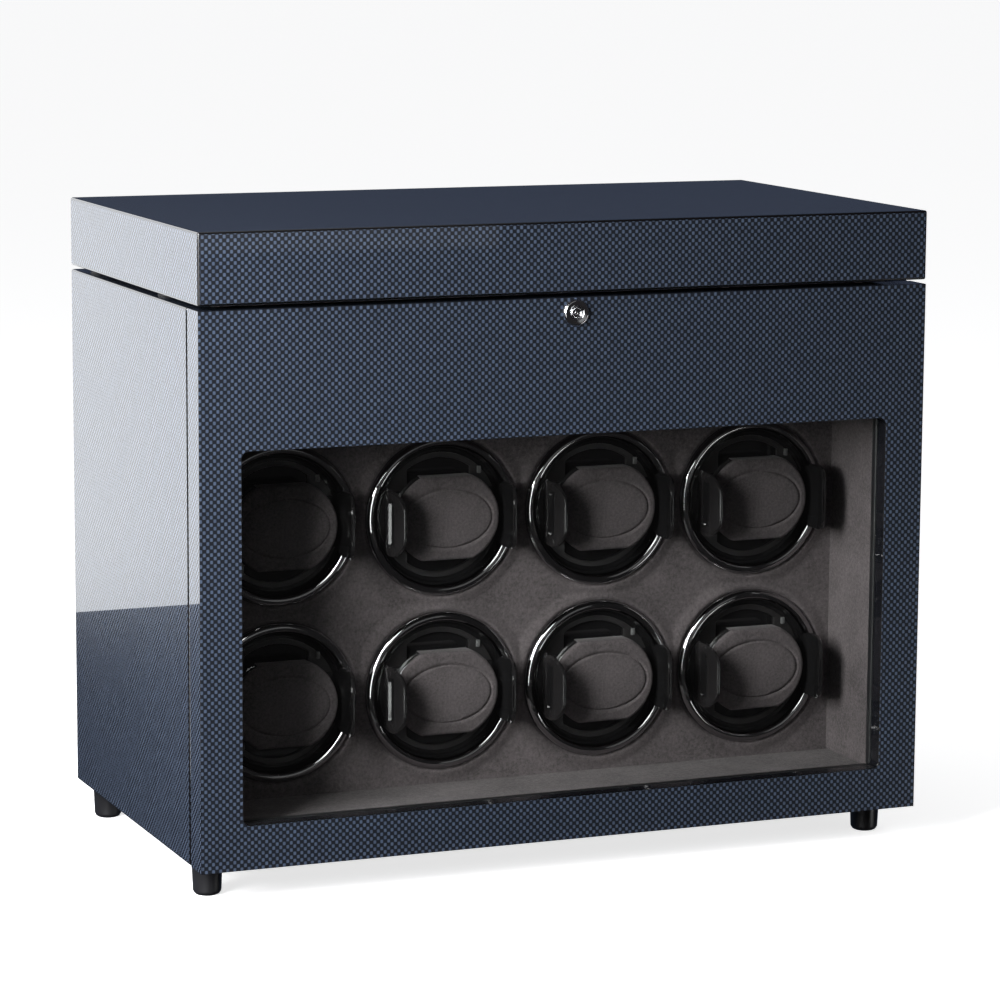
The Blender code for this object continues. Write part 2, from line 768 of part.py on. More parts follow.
def make_drive():
    """Each motor carries an upper rotor on its shaft, and a belt from that rotor turns the lower."""
    inside = BOARD + GAP
    low = (inside, DRIVE_PLATE_FACE, FOOT_HEIGHT + BOARD + GAP)
    plate_back = DRIVE_PLATE_FACE + DRIVE_PLATE_THICKNESS
    high = (WIDTH - inside, plate_back, CHAMBER_TOP - GAP)
    plate = block("drive_plate", low, high, BLACK_BOARD)
    spindle_front = PANEL_FACE + CUP_DEPTH + 2
    for number, x in enumerate(COLUMNS, start=1):
        hole = rod(f"shaft_hole_{number}", x, DRIVE_PLATE_FACE, ROWS[0], 5.0, 40, "Y")
        cut(plate, hole)
        middle = (spindle_front + plate_back - 1) / 2
        length = plate_back - 1 - spindle_front
        join(plate, rod(f"spindle_{number}", x, middle, ROWS[1], SPINDLE_RADIUS, length, "Y"))
        make_motor(number, x, plate_back + GAP, spindle_front)
        make_belt(number, x)


def make_motor(number, x, y, shaft_front):
    """Heights run forward from the motor's front face."""
    boss_radius, boss_height = 4.4, 4.0
    gearbox_back = -GEARBOX_LENGTH
    motor_back = gearbox_back - MOTOR_LENGTH
    profile = [
        (0, y - shaft_front),
        (SPINDLE_RADIUS, y - shaft_front),
        (SPINDLE_RADIUS, boss_height),
        (boss_radius, boss_height),
        (boss_radius, 0),
        (GEARBOX_RADIUS, 0),
        (GEARBOX_RADIUS, gearbox_back),
        (MOTOR_RADIUS, gearbox_back),
        (MOTOR_RADIUS, motor_back),
        (0, motor_back),
    ]
    turned(f"drive_motor_{number}", profile, x, y, ROWS[0], STEEL, steps=20)


def make_belt(number, x):
    inner = PULLEY_RADIUS + GAP
    half_pitch = ROW_PITCH / 2
    loops = []
    for radius in (inner, inner + BELT_THICKNESS):
        top = arc(0, half_pitch, radius, radius, 0, 180, 13)
        bottom = arc(0, -half_pitch, radius, radius, 180, 360, 13)
        loops.append(top + bottom)
    y = PANEL_FACE + CUP_DEPTH + GROOVE_WIDTH / 2
    z = LOWER_ROW + half_pitch
    flat_piece(f"drive_belt_{number}", loops, BELT_WIDTH, x, y, z, BELT_RUBBER)


# ---- Electrics


def make_electrics():
    block("control_display", *display_corners(0.0), SCREEN, None, 1.0)
    make_circuit_board()
    make_power_inlet()


def make_circuit_board():
    front = DEPTH - BACK_INSET - BACK_THICKNESS - BOARD_STAND_OFF
    low = (BOARD_LEFT, front, BOARD_BOTTOM)
    high = (BOARD_RIGHT, front + BOARD_THICKNESS, BOARD_TOP)
    board = block("circuit_board", low, high, BOARD_GREEN)
    # Each chip: its name, its left end and height on the board, its size, and how far it stands out.
    chips = (("relay", 10, 10, 20, 25, 9), ("processor", 50, 25, 20, 20, 3),
             ("terminal", 75, 4, 21, 8, 8))
    for name, across, up, wide, tall, proud in chips:
        low = (BOARD_LEFT + across, front - proud, BOARD_BOTTOM + up)
        high = (low[0] + wide, front + 1, low[2] + tall)
        join(board, block(name, low, high))


def make_power_inlet():
    """A round socket with a centre pin. Heights run forward from the back panel's outer face."""
    body = BACK_THICKNESS + 5
    flange = -BACK_INSET
    pin_radius, pin_end = 1.0, -1.0
    profile = [
        (0, body),
        (INLET_RADIUS, body),
        (INLET_RADIUS, -GAP),
        (INLET_FLANGE, -GAP),
        (INLET_FLANGE, flange),
        (SOCKET_RADIUS, flange),
        (SOCKET_RADIUS, SOCKET_DEPTH),
        (pin_radius, SOCKET_DEPTH),
        (pin_radius, pin_end),
        (0, pin_end),
    ]
    face = DEPTH - BACK_INSET
    turned("power_inlet", profile, INLET_X, face, INLET_Z, GLOSS_PLASTIC, steps=16)


def main():
    lid_axis = axis_empty("lid_axis", *LID_PIN)
    door_axis = axis_empty("door_axis", *DOOR_PIN)
    lock_axis = axis_empty("lock_axis", MIDDLE_X, 0, LOCK_HEIGHT, door_axis)
    make_case()
    make_feet()
    make_lid(lid_axis)
    make_door(door_axis)
    make_lock(door_axis, lock_axis)
    make_hinges(lid_axis, door_axis)
    make_rotor_panel()
    make_rotors()
    make_drive()
    make_electrics()


main()
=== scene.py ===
"""Looks of the watch winder box: materials, fine shapes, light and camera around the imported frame."""

import math

import bmesh
import bpy
from mathutils import Matrix, Vector


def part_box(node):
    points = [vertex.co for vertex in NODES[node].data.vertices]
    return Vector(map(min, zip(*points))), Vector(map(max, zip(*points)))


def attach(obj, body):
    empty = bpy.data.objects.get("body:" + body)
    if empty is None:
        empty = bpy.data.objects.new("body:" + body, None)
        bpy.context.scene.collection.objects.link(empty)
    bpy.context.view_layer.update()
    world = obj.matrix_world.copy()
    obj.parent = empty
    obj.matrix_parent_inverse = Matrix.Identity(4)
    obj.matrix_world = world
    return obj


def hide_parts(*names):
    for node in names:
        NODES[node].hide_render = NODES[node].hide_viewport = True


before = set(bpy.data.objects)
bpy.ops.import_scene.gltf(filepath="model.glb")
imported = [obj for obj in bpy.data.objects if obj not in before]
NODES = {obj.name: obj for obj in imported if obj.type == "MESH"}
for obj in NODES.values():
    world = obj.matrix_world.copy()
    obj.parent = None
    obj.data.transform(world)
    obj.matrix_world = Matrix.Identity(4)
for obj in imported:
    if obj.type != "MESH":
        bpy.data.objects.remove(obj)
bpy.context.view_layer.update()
MM = 0.001

# ---- Places read from the frame, in metres

PANEL_LOW, PANEL_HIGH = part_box("rotor_panel")
DOOR_LOW, DOOR_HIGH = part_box("door_frame")
LID_LOW, LID_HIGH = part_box("lid_shell")
LEFT_LOW, LEFT_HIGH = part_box("left_side_panel")
RIGHT_LOW, RIGHT_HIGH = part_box("right_side_panel")
BOTTOM_LOW, BOTTOM_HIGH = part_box("bottom_panel")
TRAY_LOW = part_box("storage_tray")[0]
BACK_LOW, BACK_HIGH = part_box("back_panel")
PANE_LOW, PANE_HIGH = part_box("window_pane")
INSIDE_LEFT, INSIDE_RIGHT = LEFT_HIGH.x, RIGHT_LOW.x
PANEL_FACE = PANEL_LOW.y
ROTORS = range(1, 9)


def rotor_centre(number):
    low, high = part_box(f"rotor_cup_{number}")
    return Vector(((low.x + high.x) / 2, PANEL_FACE, (low.z + high.z) / 2))


# ---- Material building


class Finish:
    """A material with one Principled shader, and short ways to add the nodes of its pattern."""

    def __init__(self, name, colour, roughness, **values):
        self.material = bpy.data.materials.new(name)
        self.material.use_nodes = True
        self.tree = self.material.node_tree
        self.shader = self.tree.nodes["Principled BSDF"]
        self.shader.inputs["Base Color"].default_value = (*colour, 1)
        self.shader.inputs["Roughness"].default_value = roughness
        for socket, value in values.items():
            self.shader.inputs[socket.replace("_", " ")].default_value = value

    def add(self, kind, inputs=(), **settings):
        node = self.tree.nodes.new(kind)
        for key, value in settings.items():
            setattr(node, key, value)
        for socket, value in dict(inputs).items():
            self.put(node.inputs[socket], value)
        return node

    def put(self, socket, value):
        if isinstance(value, bpy.types.NodeSocket):
            self.tree.links.new(value, socket)
        else:
            socket.default_value = value

    def math(self, operation, *values, clamp=False):
        node = self.add("ShaderNodeMath", enumerate(values), operation=operation, use_clamp=clamp)
        return node.outputs[0]

    def noise(self, scale, detail=2.0, roughness=0.5, stretch=None):
        point = self.add("ShaderNodeTexCoord").outputs["Object"]
        if stretch:
            node = self.add("ShaderNodeVectorMath", {0: point, 1: stretch}, operation="MULTIPLY")
            point = node.outputs[0]
        inputs = {"Vector": point, "Scale": scale, "Detail": detail, "Roughness": roughness}
        return self.add("ShaderNodeTexNoise", inputs).outputs[0]

    def remap(self, value, low, high, to_low, to_high, smooth=False):
        kind = "SMOOTHSTEP" if smooth else "LINEAR"
        inputs = {0: value, 1: low, 2: high, 3: to_low, 4: to_high}
        return self.add("ShaderNodeMapRange", inputs, interpolation_type=kind).outputs[0]

    def drift(self, scale, low, high, detail=2.0):
        """A value that wanders between two limits over the surface."""
        return self.remap(self.noise(scale, detail), 0.3, 0.7, low, high)

    def blend(self, share, first, second):
        """A colour between two, each a socket or three numbers."""
        node = self.add("ShaderNodeMix", data_type="RGBA")
        self.put(node.inputs[0], share)
        for index, colour in ((6, first), (7, second)):
            self.put(node.inputs[index], (*colour, 1) if isinstance(colour, tuple) else colour)
        return node.outputs[2]

    def bump(self, height, distance, strength):
        inputs = {"Height": height, "Distance": distance, "Strength": strength}
        self.set("Normal", self.add("ShaderNodeBump", inputs).outputs[0])

    def set(self, socket, value):
        self.put(self.shader.inputs[socket], value)


def face_plane(finish):
    """(across, up): the two coordinates of an axis-aligned face that run in its plane."""
    place = finish.add("ShaderNodeTexCoord")
    point = finish.add("ShaderNodeSeparateXYZ", {0: place.outputs["Object"]}).outputs
    normal = finish.add("ShaderNodeSeparateXYZ", {0: place.outputs["Normal"]}).outputs
    square_on = 0.7
    sideways = finish.math("GREATER_THAN", finish.math("ABSOLUTE", normal[0]), square_on)
    level = finish.math("GREATER_THAN", finish.math("ABSOLUTE", normal[2]), square_on)

    def choose(share, first, second):
        inputs = {0: share, 2: first, 3: second}
        return finish.add("ShaderNodeMix", inputs, data_type="FLOAT").outputs[0]

    return choose(sideways, point[0], point[1]), choose(level, point[2], point[1])


WEAVE_CELL = 2.0 * MM
WEAVE_SQUARENESS = 0.35
FIBRES = 9
WEAVE_DARK = (0.0042, 0.0056, 0.0098)
WEAVE_BRIGHT = (0.100, 0.133, 0.202)


def carbon_lacquer():
    """A plain weave of dark and blue-grey cells under a thick clear lacquer."""
    finish = Finish(
        "carbon_lacquer", WEAVE_DARK, 0.32,
        Coat_Weight=1.0, Coat_Roughness=0.015, Coat_IOR=1.6, Specular_IOR_Level=0.25,
    )
    across, up = face_plane(finish)
    turns = math.pi / WEAVE_CELL
    wave_across = finish.math("SINE", finish.math("MULTIPLY", across, turns))
    wave_up = finish.math("SINE", finish.math("MULTIPLY", up, turns))
    # A cell keeps nearly its full height, and fades at its two sides.
    full = finish.math("POWER", finish.math("ABSOLUTE", wave_up), WEAVE_SQUARENESS)
    row = finish.math("MULTIPLY", finish.math("SIGN", wave_up), full)
    product = finish.math("MULTIPLY", wave_across, row)
    cell = finish.remap(product, -0.05, 0.75, 0.0, 1.0, smooth=True)
    # Fibres run up each bright cell, and the batches of thread differ a little.
    fibre = finish.math("SINE", finish.math("MULTIPLY", across, FIBRES * turns))
    fibre = finish.remap(fibre, -1.0, 1.0, 0.86, 1.0)
    batch = finish.drift(190.0, 0.78, 1.15, 1.0)
    share = finish.math("MULTIPLY", finish.math("MULTIPLY", cell, fibre), batch, clamp=True)
    finish.set("Base Color", finish.blend(share, WEAVE_DARK, WEAVE_BRIGHT))
    finish.set("Roughness", finish.remap(cell, 0.0, 1.0, 0.5, 0.3))
    finish.set("Metallic", finish.remap(cell, 0.0, 1.0, 0.0, 0.35))
    return finish.material


def suede(name, colour, grain=1.0):
    """Short nap: a fine grain, soft clouds where it was brushed, and a little sheen."""
    finish = Finish(name, colour, 0.92, Sheen_Weight=0.08, Sheen_Roughness=0.4, Specular_IOR_Level=0.2)
    clouds = finish.noise(28.0, 3.0, 0.6)
    nap = finish.noise(1000.0 * grain, 2.0, 0.8)
    flecks = finish.noise(520.0 * grain, 2.0, 0.6)
    share = finish.math("ADD", finish.math("MULTIPLY", clouds, 0.35), finish.math("MULTIPLY", nap, 0.3))
    share = finish.math("ADD", share, finish.math("MULTIPLY", flecks, 0.35))
    share = finish.remap(share, 0.38, 0.62, 0.0, 1.0)
    dark = tuple(0.62 * c for c in colour)
    light = tuple(1.42 * c for c in colour)
    finish.set("Base Color", finish.blend(share, dark, light))
    height = finish.math("ADD", finish.math("MULTIPLY", nap, 0.6), finish.math("MULTIPLY", flecks, 0.4))
    finish.bump(height, 0.35 * MM, 0.5)
    return finish.material


def plastic(name, colour, roughness, grain_scale=900.0, grain_depth=0.02 * MM, coat=0.0):
    """Moulded plastic: roughness that drifts a little, and a very fine moulded grain."""
    finish = Finish(name, colour, roughness, Coat_Weight=coat, Coat_Roughness=0.03)
    finish.set("Roughness", finish.math("MULTIPLY", finish.drift(60.0, 0.8, 1.25), roughness))
    shade = finish.drift(35.0, 0.0, 1.0)
    lighter = tuple(1.12 * c for c in colour)
    finish.set("Base Color", finish.blend(shade, colour, lighter))
    finish.bump(finish.noise(grain_scale, 1.0), grain_depth, 0.4)
    return finish.material


def metal(name, colour, roughness, brushed=0.0, stretch=(1, 1, 1)):
    """Plated metal, polished or brushed along the stretched direction."""
    finish = Finish(name, colour, roughness, Metallic=1.0)
    streaks = finish.noise(900.0, 2.0, 0.6, stretch=stretch)
    smoothest, roughest = roughness * (1 - brushed), roughness * (1 + brushed)
    finish.set("Roughness", finish.remap(streaks, 0.3, 0.7, smoothest, roughest))
    shade = finish.drift(90.0, 0.0, 1.0)
    finish.set("Base Color", finish.blend(shade, tuple(0.93 * c for c in colour), colour))
    if brushed:
        finish.bump(streaks, 0.01 * MM, 0.5)
    return finish.material


def window_glass():
    """Clear polished glass: it lets light straight through and mirrors a little at its face."""
    finish = Finish("window_glass", (0.9, 0.95, 0.95), 0.0)
    tree = finish.tree
    tree.nodes.remove(finish.shader)
    clear = finish.add("ShaderNodeBsdfTransparent", {"Color": (0.955, 0.965, 0.96, 1)})
    mirror = finish.add("ShaderNodeBsdfGlossy", {"Color": (1, 1, 1, 1), "Roughness": 0.0})
    edge_on = finish.add("ShaderNodeLayerWeight", {"Blend": 0.5}).outputs["Facing"]
    gain = finish.math("POWER", edge_on, 5.0)
    face_on = 0.035
    haze = finish.drift(14.0, 0.9, 1.1)
    share = finish.math("MULTIPLY", finish.remap(gain, 0.0, 1.0, face_on, 1.0), haze)
    both = finish.add("ShaderNodeMixShader", {0: share, 1: clear.outputs[0], 2: mirror.outputs[0]})
    tree.links.new(both.outputs[0], tree.nodes["Material Output"].inputs["Surface"])
    return finish.material


def circuit_green():
    """Solder resist with faint tracks under it."""
    finish = Finish("circuit_board", (0.01, 0.09, 0.04), 0.35, Coat_Weight=0.3)
    across, up = face_plane(finish)
    turns = 1800.0
    track = finish.math("SINE", finish.math("MULTIPLY", finish.math("ADD", across, up), turns))
    wander = finish.math("ADD", track, finish.remap(finish.noise(90.0, 1.0), 0, 1, -0.6, 0.6))
    share = finish.remap(wander, 0.5, 0.7, 0.0, 1.0)
    finish.set("Base Color", finish.blend(share, (0.008, 0.075, 0.034), (0.02, 0.16, 0.07)))
    return finish.material


CARBON = carbon_lacquer()
SUEDE = suede("suede_lining", (0.106, 0.091, 0.094))
PAD_SUEDE = suede("suede_pad", (0.098, 0.084, 0.087), 1.3)
GLOSS_BLACK = plastic("gloss_black_plastic", (0.0075, 0.0072, 0.0076), 0.07, 500.0, 0.004 * MM, 0.6)
FACE_BLACK = plastic("face_black_plastic", (0.017, 0.0155, 0.016), 0.42, 1100.0, 0.02 * MM)
EAR_BLACK = plastic("holder_black_plastic", (0.012, 0.0110, 0.0115), 0.17, 1100.0, 0.005 * MM, 0.15)
SATIN_BLACK = plastic("satin_black_paint", (0.012, 0.012, 0.013), 0.42, 700.0)
JAMB_BLACK = plastic("gloss_black_lacquer", (0.0045, 0.0048, 0.006), 0.05, 120.0, 0.002 * MM)
# Near-black lacquer on the rounded edges of the case, lid and door in place of the weave: a painted shade
# line along each edge.
SHADED_EDGE_BLACK = plastic("edge_lacquer_painted_shade", (0.0045, 0.0048, 0.006), 0.06, 120.0, 0.002 * MM, 0.5)
FOOT_BLACK = plastic("foot_black_plastic", (0.014, 0.014, 0.016), 0.33, 1300.0)
RUBBER = plastic("belt_rubber", (0.02, 0.02, 0.02), 0.8, 600.0, 0.05 * MM)
CHROME = metal("polished_chrome", (0.78, 0.79, 0.81), 0.07)
NICKEL = metal("nickel_plate", (0.55, 0.54, 0.52), 0.24, 0.3, (0.1, 1, 1))
ZINC = metal("zinc_plate", (0.42, 0.43, 0.45), 0.38, 0.35, (1, 0.15, 1))
GLASS = window_glass()
SCREEN = plastic("display_glass", (0.008, 0.009, 0.012), 0.04, 90.0, 0.002 * MM, 1.0)
PRINT = plastic("display_print", (0.50, 0.52, 0.55), 0.5)
STOP_GREY = plastic("moulded_stop", (0.11, 0.11, 0.11), 0.3, 600.0, 0.01 * MM, 0.3)
BEZEL = metal("black_chrome", (0.40, 0.39, 0.40), 0.06)
BOARD_GREEN = circuit_green()


# ---- Shape building

WELD = 1e-7
TINY = 1e-6
EDGE_ANGLE = math.radians(40)


def finish_mesh(name, vertices, faces, material, place=(0, 0, 0), sharp=35.0):
    """A smooth piece from points and faces, with creases where it bends by more than an angle."""
    mesh = bpy.data.meshes.new(name)
    mesh.from_pydata([tuple(v) for v in vertices], [], faces)
    shape = bmesh.new()
    shape.from_mesh(mesh)
    bmesh.ops.remove_doubles(shape, verts=shape.verts, dist=WELD)
    bmesh.ops.recalc_face_normals(shape, faces=shape.faces)
    shape.to_mesh(mesh)
    shape.free()
    mesh.materials.append(material)
    mesh.shade_smooth()
    mesh.set_sharp_from_angle(angle=math.radians(sharp))
    return link(name, mesh, place)


def link(name, mesh, place=(0, 0, 0)):
    """Puts a mesh in the scene as an object."""
    made = bpy.data.objects.new(name, mesh)
    bpy.context.scene.collection.objects.link(made)
    made.location = place
    return made


def copy_of(made, name, place):
    """Another piece with the same mesh and modifiers, but none of the first one's custom properties."""
    twin = made.copy()
    twin.name = name
    for key in list(twin.keys()):
        del twin[key]
    bpy.context.scene.collection.objects.link(twin)
    twin.location = place
    return twin


def repeat(first, title, spots):
    """The first piece at the first spot, then a copy of it at each further one."""
    first.location = spots[0]
    yield first
    for number, spot in enumerate(spots[1:], start=2):
        yield copy_of(first, f"{title}_{number}", spot)


def board(name, low, high, material, radius=0.0, segments=4, edge_shade_material=None):
    """A board between two corners, with its edges rounded."""
    mesh = bpy.data.meshes.new(name)
    shape = bmesh.new()
    bmesh.ops.create_cube(shape, size=1.0)
    size = Vector(high) - Vector(low)
    middle = (Vector(high) + Vector(low)) / 2
    bmesh.ops.scale(shape, vec=size, verts=shape.verts)
    bmesh.ops.translate(shape, vec=middle, verts=shape.verts)
    shape.to_mesh(mesh)
    shape.free()
    mesh.materials.append(material)
    made = link(name, mesh)
    if radius:
        round_edges(made, radius, segments, edge_shade_material)
    return made


def round_edges(made, radius, segments=4, edge_shade_material=None):
    bevel = made.modifiers.new("round_edges", "BEVEL")
    # The rounded faces can take their own material, which paints a dark shade line along the edges.
    if edge_shade_material:
        made.data.materials.append(edge_shade_material)
        bevel.material = len(made.data.materials) - 1
    bevel.width = radius
    bevel.segments = segments
    bevel.limit_method = "ANGLE"
    bevel.angle_limit = EDGE_ANGLE
    bevel.harden_normals = True
    made.data.shade_smooth()
    made.data.set_sharp_from_angle(angle=EDGE_ANGLE)


def cut(made, other):
    """Cuts another object out of a piece, and removes that object."""
    step = made.modifiers.new("cut", "BOOLEAN")
    step.operation = "DIFFERENCE"
    step.solver = "EXACT"
    step.material_mode = "TRANSFER"
    step.object = other
    graph = bpy.context.evaluated_depsgraph_get()
    mesh = bpy.data.meshes.new_from_object(made.evaluated_get(graph))
    made.modifiers.remove(step)
    made.data = mesh
    bpy.data.objects.remove(other, do_unlink=True)


def lathe(name, profile, material, place, steps, axis="front", sharp=35.0):
    """A turned piece from (radius, height) points; height runs forward, or up where axis is up."""
    vertices, faces = [], []
    for radius, height in profile:
        for n in range(steps):
            angle = 2 * math.pi * n / steps
            across, up = radius * math.cos(angle), radius * math.sin(angle)
            vertices.append((across, -height, up) if axis == "front" else (across, up, height))
    for row in range(len(profile) - 1):
        for n in range(steps):
            after = (n + 1) % steps
            first, second = row * steps, (row + 1) * steps
            faces.append((first + n, first + after, second + after, second + n))
    # The first and the last ring are capped, unless they meet on the axis.
    for row, (radius, _) in ((0, profile[0]), (len(profile) - 1, profile[-1])):
        if radius > TINY:
            faces.append([row * steps + n for n in range(steps)])
    return finish_mesh(name, vertices, faces, material, place, sharp)


def rounded(points, radius, count=4):
    """The same open outline with each inner corner turned into an arc."""
    out = [points[0]]
    for before, corner, after in zip(points, points[1:], points[2:]):
        a, b, c = (Vector(p) for p in (before, corner, after))
        reach = min(radius, (a - b).length / 2.2, (c - b).length / 2.2)
        start, end = b + (a - b).normalized() * reach, b + (c - b).normalized() * reach
        for n in range(count + 1):
            t = n / count
            out.append(tuple(start * (1 - t) ** 2 + b * 2 * t * (1 - t) + end * t ** 2))
    out.append(points[-1])
    return out


def scaled(points):
    """The same points in metres instead of millimetres."""
    return [tuple(MM * v for v in point) for point in points]


def smooth_step(value, low, high):
    t = min(1.0, max(0.0, (value - low) / (high - low)))
    return t * t * (3 - 2 * t)


def stand_for(made, body, node=None, slot=None):
    """The piece rides on a body, and may stand for a CAD node, which it hides; the slot argument is not
    used.
    """
    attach(made, body)
    if node:
        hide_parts(node)
    return made


# ---- Case, lid and door

EDGE = 1.2 * MM
STILE = 23.5 * MM


def make_case():
    for side, low, high in (("left", LEFT_LOW, LEFT_HIGH), ("right", RIGHT_LOW, RIGHT_HIGH)):
        made = board(f"{side}_side_board", low, high, CARBON, EDGE, edge_shade_material=SHADED_EDGE_BLACK)
        stand_for(made, "case", f"{side}_side_panel", "carbon_lacquer")
    made = board("bottom_board", BOTTOM_LOW, BOTTOM_HIGH, CARBON, EDGE, edge_shade_material=SHADED_EDGE_BLACK)
    stand_for(made, "case", "bottom_panel", "carbon_lacquer")


def make_lid():
    body = board("lid_body", LID_LOW, LID_HIGH, CARBON)
    wall = 15 * MM
    top = 13 * MM
    low = Vector((LID_LOW.x + wall, LID_LOW.y + wall, LID_LOW.z - wall))
    high = Vector((LID_HIGH.x - wall, LID_HIGH.y - wall, LID_HIGH.z - top))
    cut(body, board("lid_hollow", low, high, SATIN_BLACK))
    round_edges(body, EDGE, edge_shade_material=SHADED_EDGE_BLACK)
    stand_for(body, "lid", "lid_shell", "carbon_lacquer")


def make_door():
    body = board("door_body", DOOR_LOW, DOOR_HIGH, CARBON)
    overlap = STILE - (PANE_LOW.x - DOOR_LOW.x)
    low = Vector((PANE_LOW.x + overlap, -1, PANE_LOW.z + overlap))
    high = Vector((PANE_HIGH.x - overlap, 1, PANE_HIGH.z - overlap))
    opening = board("opening", low, high, JAMB_BLACK)
    # Only the opening's four corners are rounded, so only the edges through the door have weight.
    corners = opening.modifiers.new("corners", "BEVEL")
    corners.width = 4 * MM
    corners.segments = 8
    corners.limit_method = "WEIGHT"
    weights = opening.data.attributes.new("bevel_weight_edge", "FLOAT", "EDGE")
    for edge in opening.data.edges:
        a, b = (opening.data.vertices[v].co for v in edge.vertices)
        weights.data[edge.index].value = 1.0 if abs(a.y - b.y) > 1 else 0.0
    cut(body, opening)
    gap = 0.3 * MM
    low = PANE_LOW - Vector((gap, gap, gap))
    high = Vector((PANE_HIGH.x + gap, 1, PANE_HIGH.z + gap))
    cut(body, board("rebate", low, high, JAMB_BLACK))
    lock_low, lock_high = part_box("lock_housing")
    centre = (lock_low + lock_high) / 2
    wide, reach = 6.1 * MM, 0.1
    bore = [(0, reach), (wide, reach), (wide, -reach), (0, -reach)]
    cut(body, lathe("lock_bore", bore, JAMB_BLACK, centre, 48))
    round_edges(body, EDGE, edge_shade_material=SHADED_EDGE_BLACK)
    stand_for(body, "door", "door_frame", "carbon_lacquer")


# ---- Linings of the chamber and of the storage compartment

LINING_EDGE = 0.9 * MM
SEAM = 0.1 * MM


def make_linings():
    thick, ceiling_thick, floor_thick = 3 * MM, 3.2 * MM, 4.2 * MM
    front = DOOR_HIGH.y + 2.4 * MM
    back = PANEL_FACE - SEAM
    left, right = INSIDE_LEFT + SEAM, INSIDE_RIGHT - SEAM
    floor, floor_top = BOTTOM_HIGH.z + SEAM, BOTTOM_HIGH.z + floor_thick
    ceiling, ceiling_face = TRAY_LOW.z - SEAM, TRAY_LOW.z - ceiling_thick
    wall_low, wall_high = floor_top + SEAM, ceiling_face - SEAM
    add_linings({
        "chamber_floor_lining": ((left, front, floor), (right, back, floor_top)),
        "chamber_ceiling_lining": ((left, front, ceiling_face), (right, back, ceiling)),
        "chamber_left_lining": ((left, front, wall_low), (INSIDE_LEFT + thick, back, wall_high)),
        "chamber_right_lining": ((INSIDE_RIGHT - thick, front, wall_low), (right, back, wall_high)),
    })


def make_storage_linings():
    """Suede on the storage compartment's two sides and its back."""
    thick = 2.5 * MM
    tray_floor, tray_front = 8 * MM, 11.8 * MM
    floor = TRAY_LOW.z + tray_floor + SEAM
    top = LEFT_HIGH.z - 0.8 * MM
    front = TRAY_LOW.y + tray_front + SEAM
    back = BACK_LOW.y - 0.4 * MM
    left, right = INSIDE_LEFT + thick, INSIDE_RIGHT - thick
    lower = 1.5 * MM
    add_linings({
        "storage_left_lining": ((INSIDE_LEFT + SEAM, front, floor), (left, back, top)),
        "storage_right_lining": ((right, front, floor), (INSIDE_RIGHT - SEAM, back, top)),
        "storage_back_lining": ((left + SEAM, back - thick, floor), (right - SEAM, back, top - lower)),
    })


def add_linings(pieces):
    for name, (low, high) in pieces.items():
        stand_for(board(name, low, high, SUEDE, LINING_EDGE, 3), "case", None, "suede")


def make_lid_cushion():
    """The lid's padded lining: its face swells downwards and its edges are tucked in."""
    low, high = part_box("lid_lining")
    columns, rows = 96, 56
    size = high - low
    swell, depth, tuck = 1.4 * MM, 2.4 * MM, 7 * MM
    vertices, faces = [], []
    for row in range(rows + 1):
        for column in range(columns + 1):
            u, v = column / columns, row / rows
            edge = min(u * size.x, (1 - u) * size.x, v * size.y, (1 - v) * size.y)
            fall = 1 - math.sqrt(max(0.0, 1 - (1 - min(1.0, edge / tuck)) ** 2))
            crown = swell * (4 * u * (1 - u)) ** 0.5 * (4 * v * (1 - v)) ** 0.5
            z = low.z + depth * fall - crown
            vertices.append((low.x + u * size.x, low.y + v * size.y, z))
    for row in range(rows):
        for column in range(columns):
            first = row * (columns + 1) + column
            faces.append((first, first + columns + 1, first + columns + 2, first + 1))
    made = finish_mesh("lid_cushion", vertices, faces, SUEDE, sharp=60)
    shell = made.modifiers.new("thickness", "SOLIDIFY")
    shell.thickness = 1.2 * MM
    shell.offset = 0.0
    stand_for(made, "lid", "lid_lining", "suede")


# ---- The rotor panel: suede drawn up into a soft collar round each bezel

HOLE = 43.0
GRID = 1.2
COLLAR = 1.5
COLLAR_RISE = (45.4, 46.6)
COLLAR_FALL = (47.0, 55.0)


def collar(radius):
    """How far the suede stands proud of the panel, by the distance from a rotor's axis, in mm."""
    return COLLAR * smooth_step(radius, *COLLAR_RISE) * (1 - smooth_step(radius, *COLLAR_FALL))


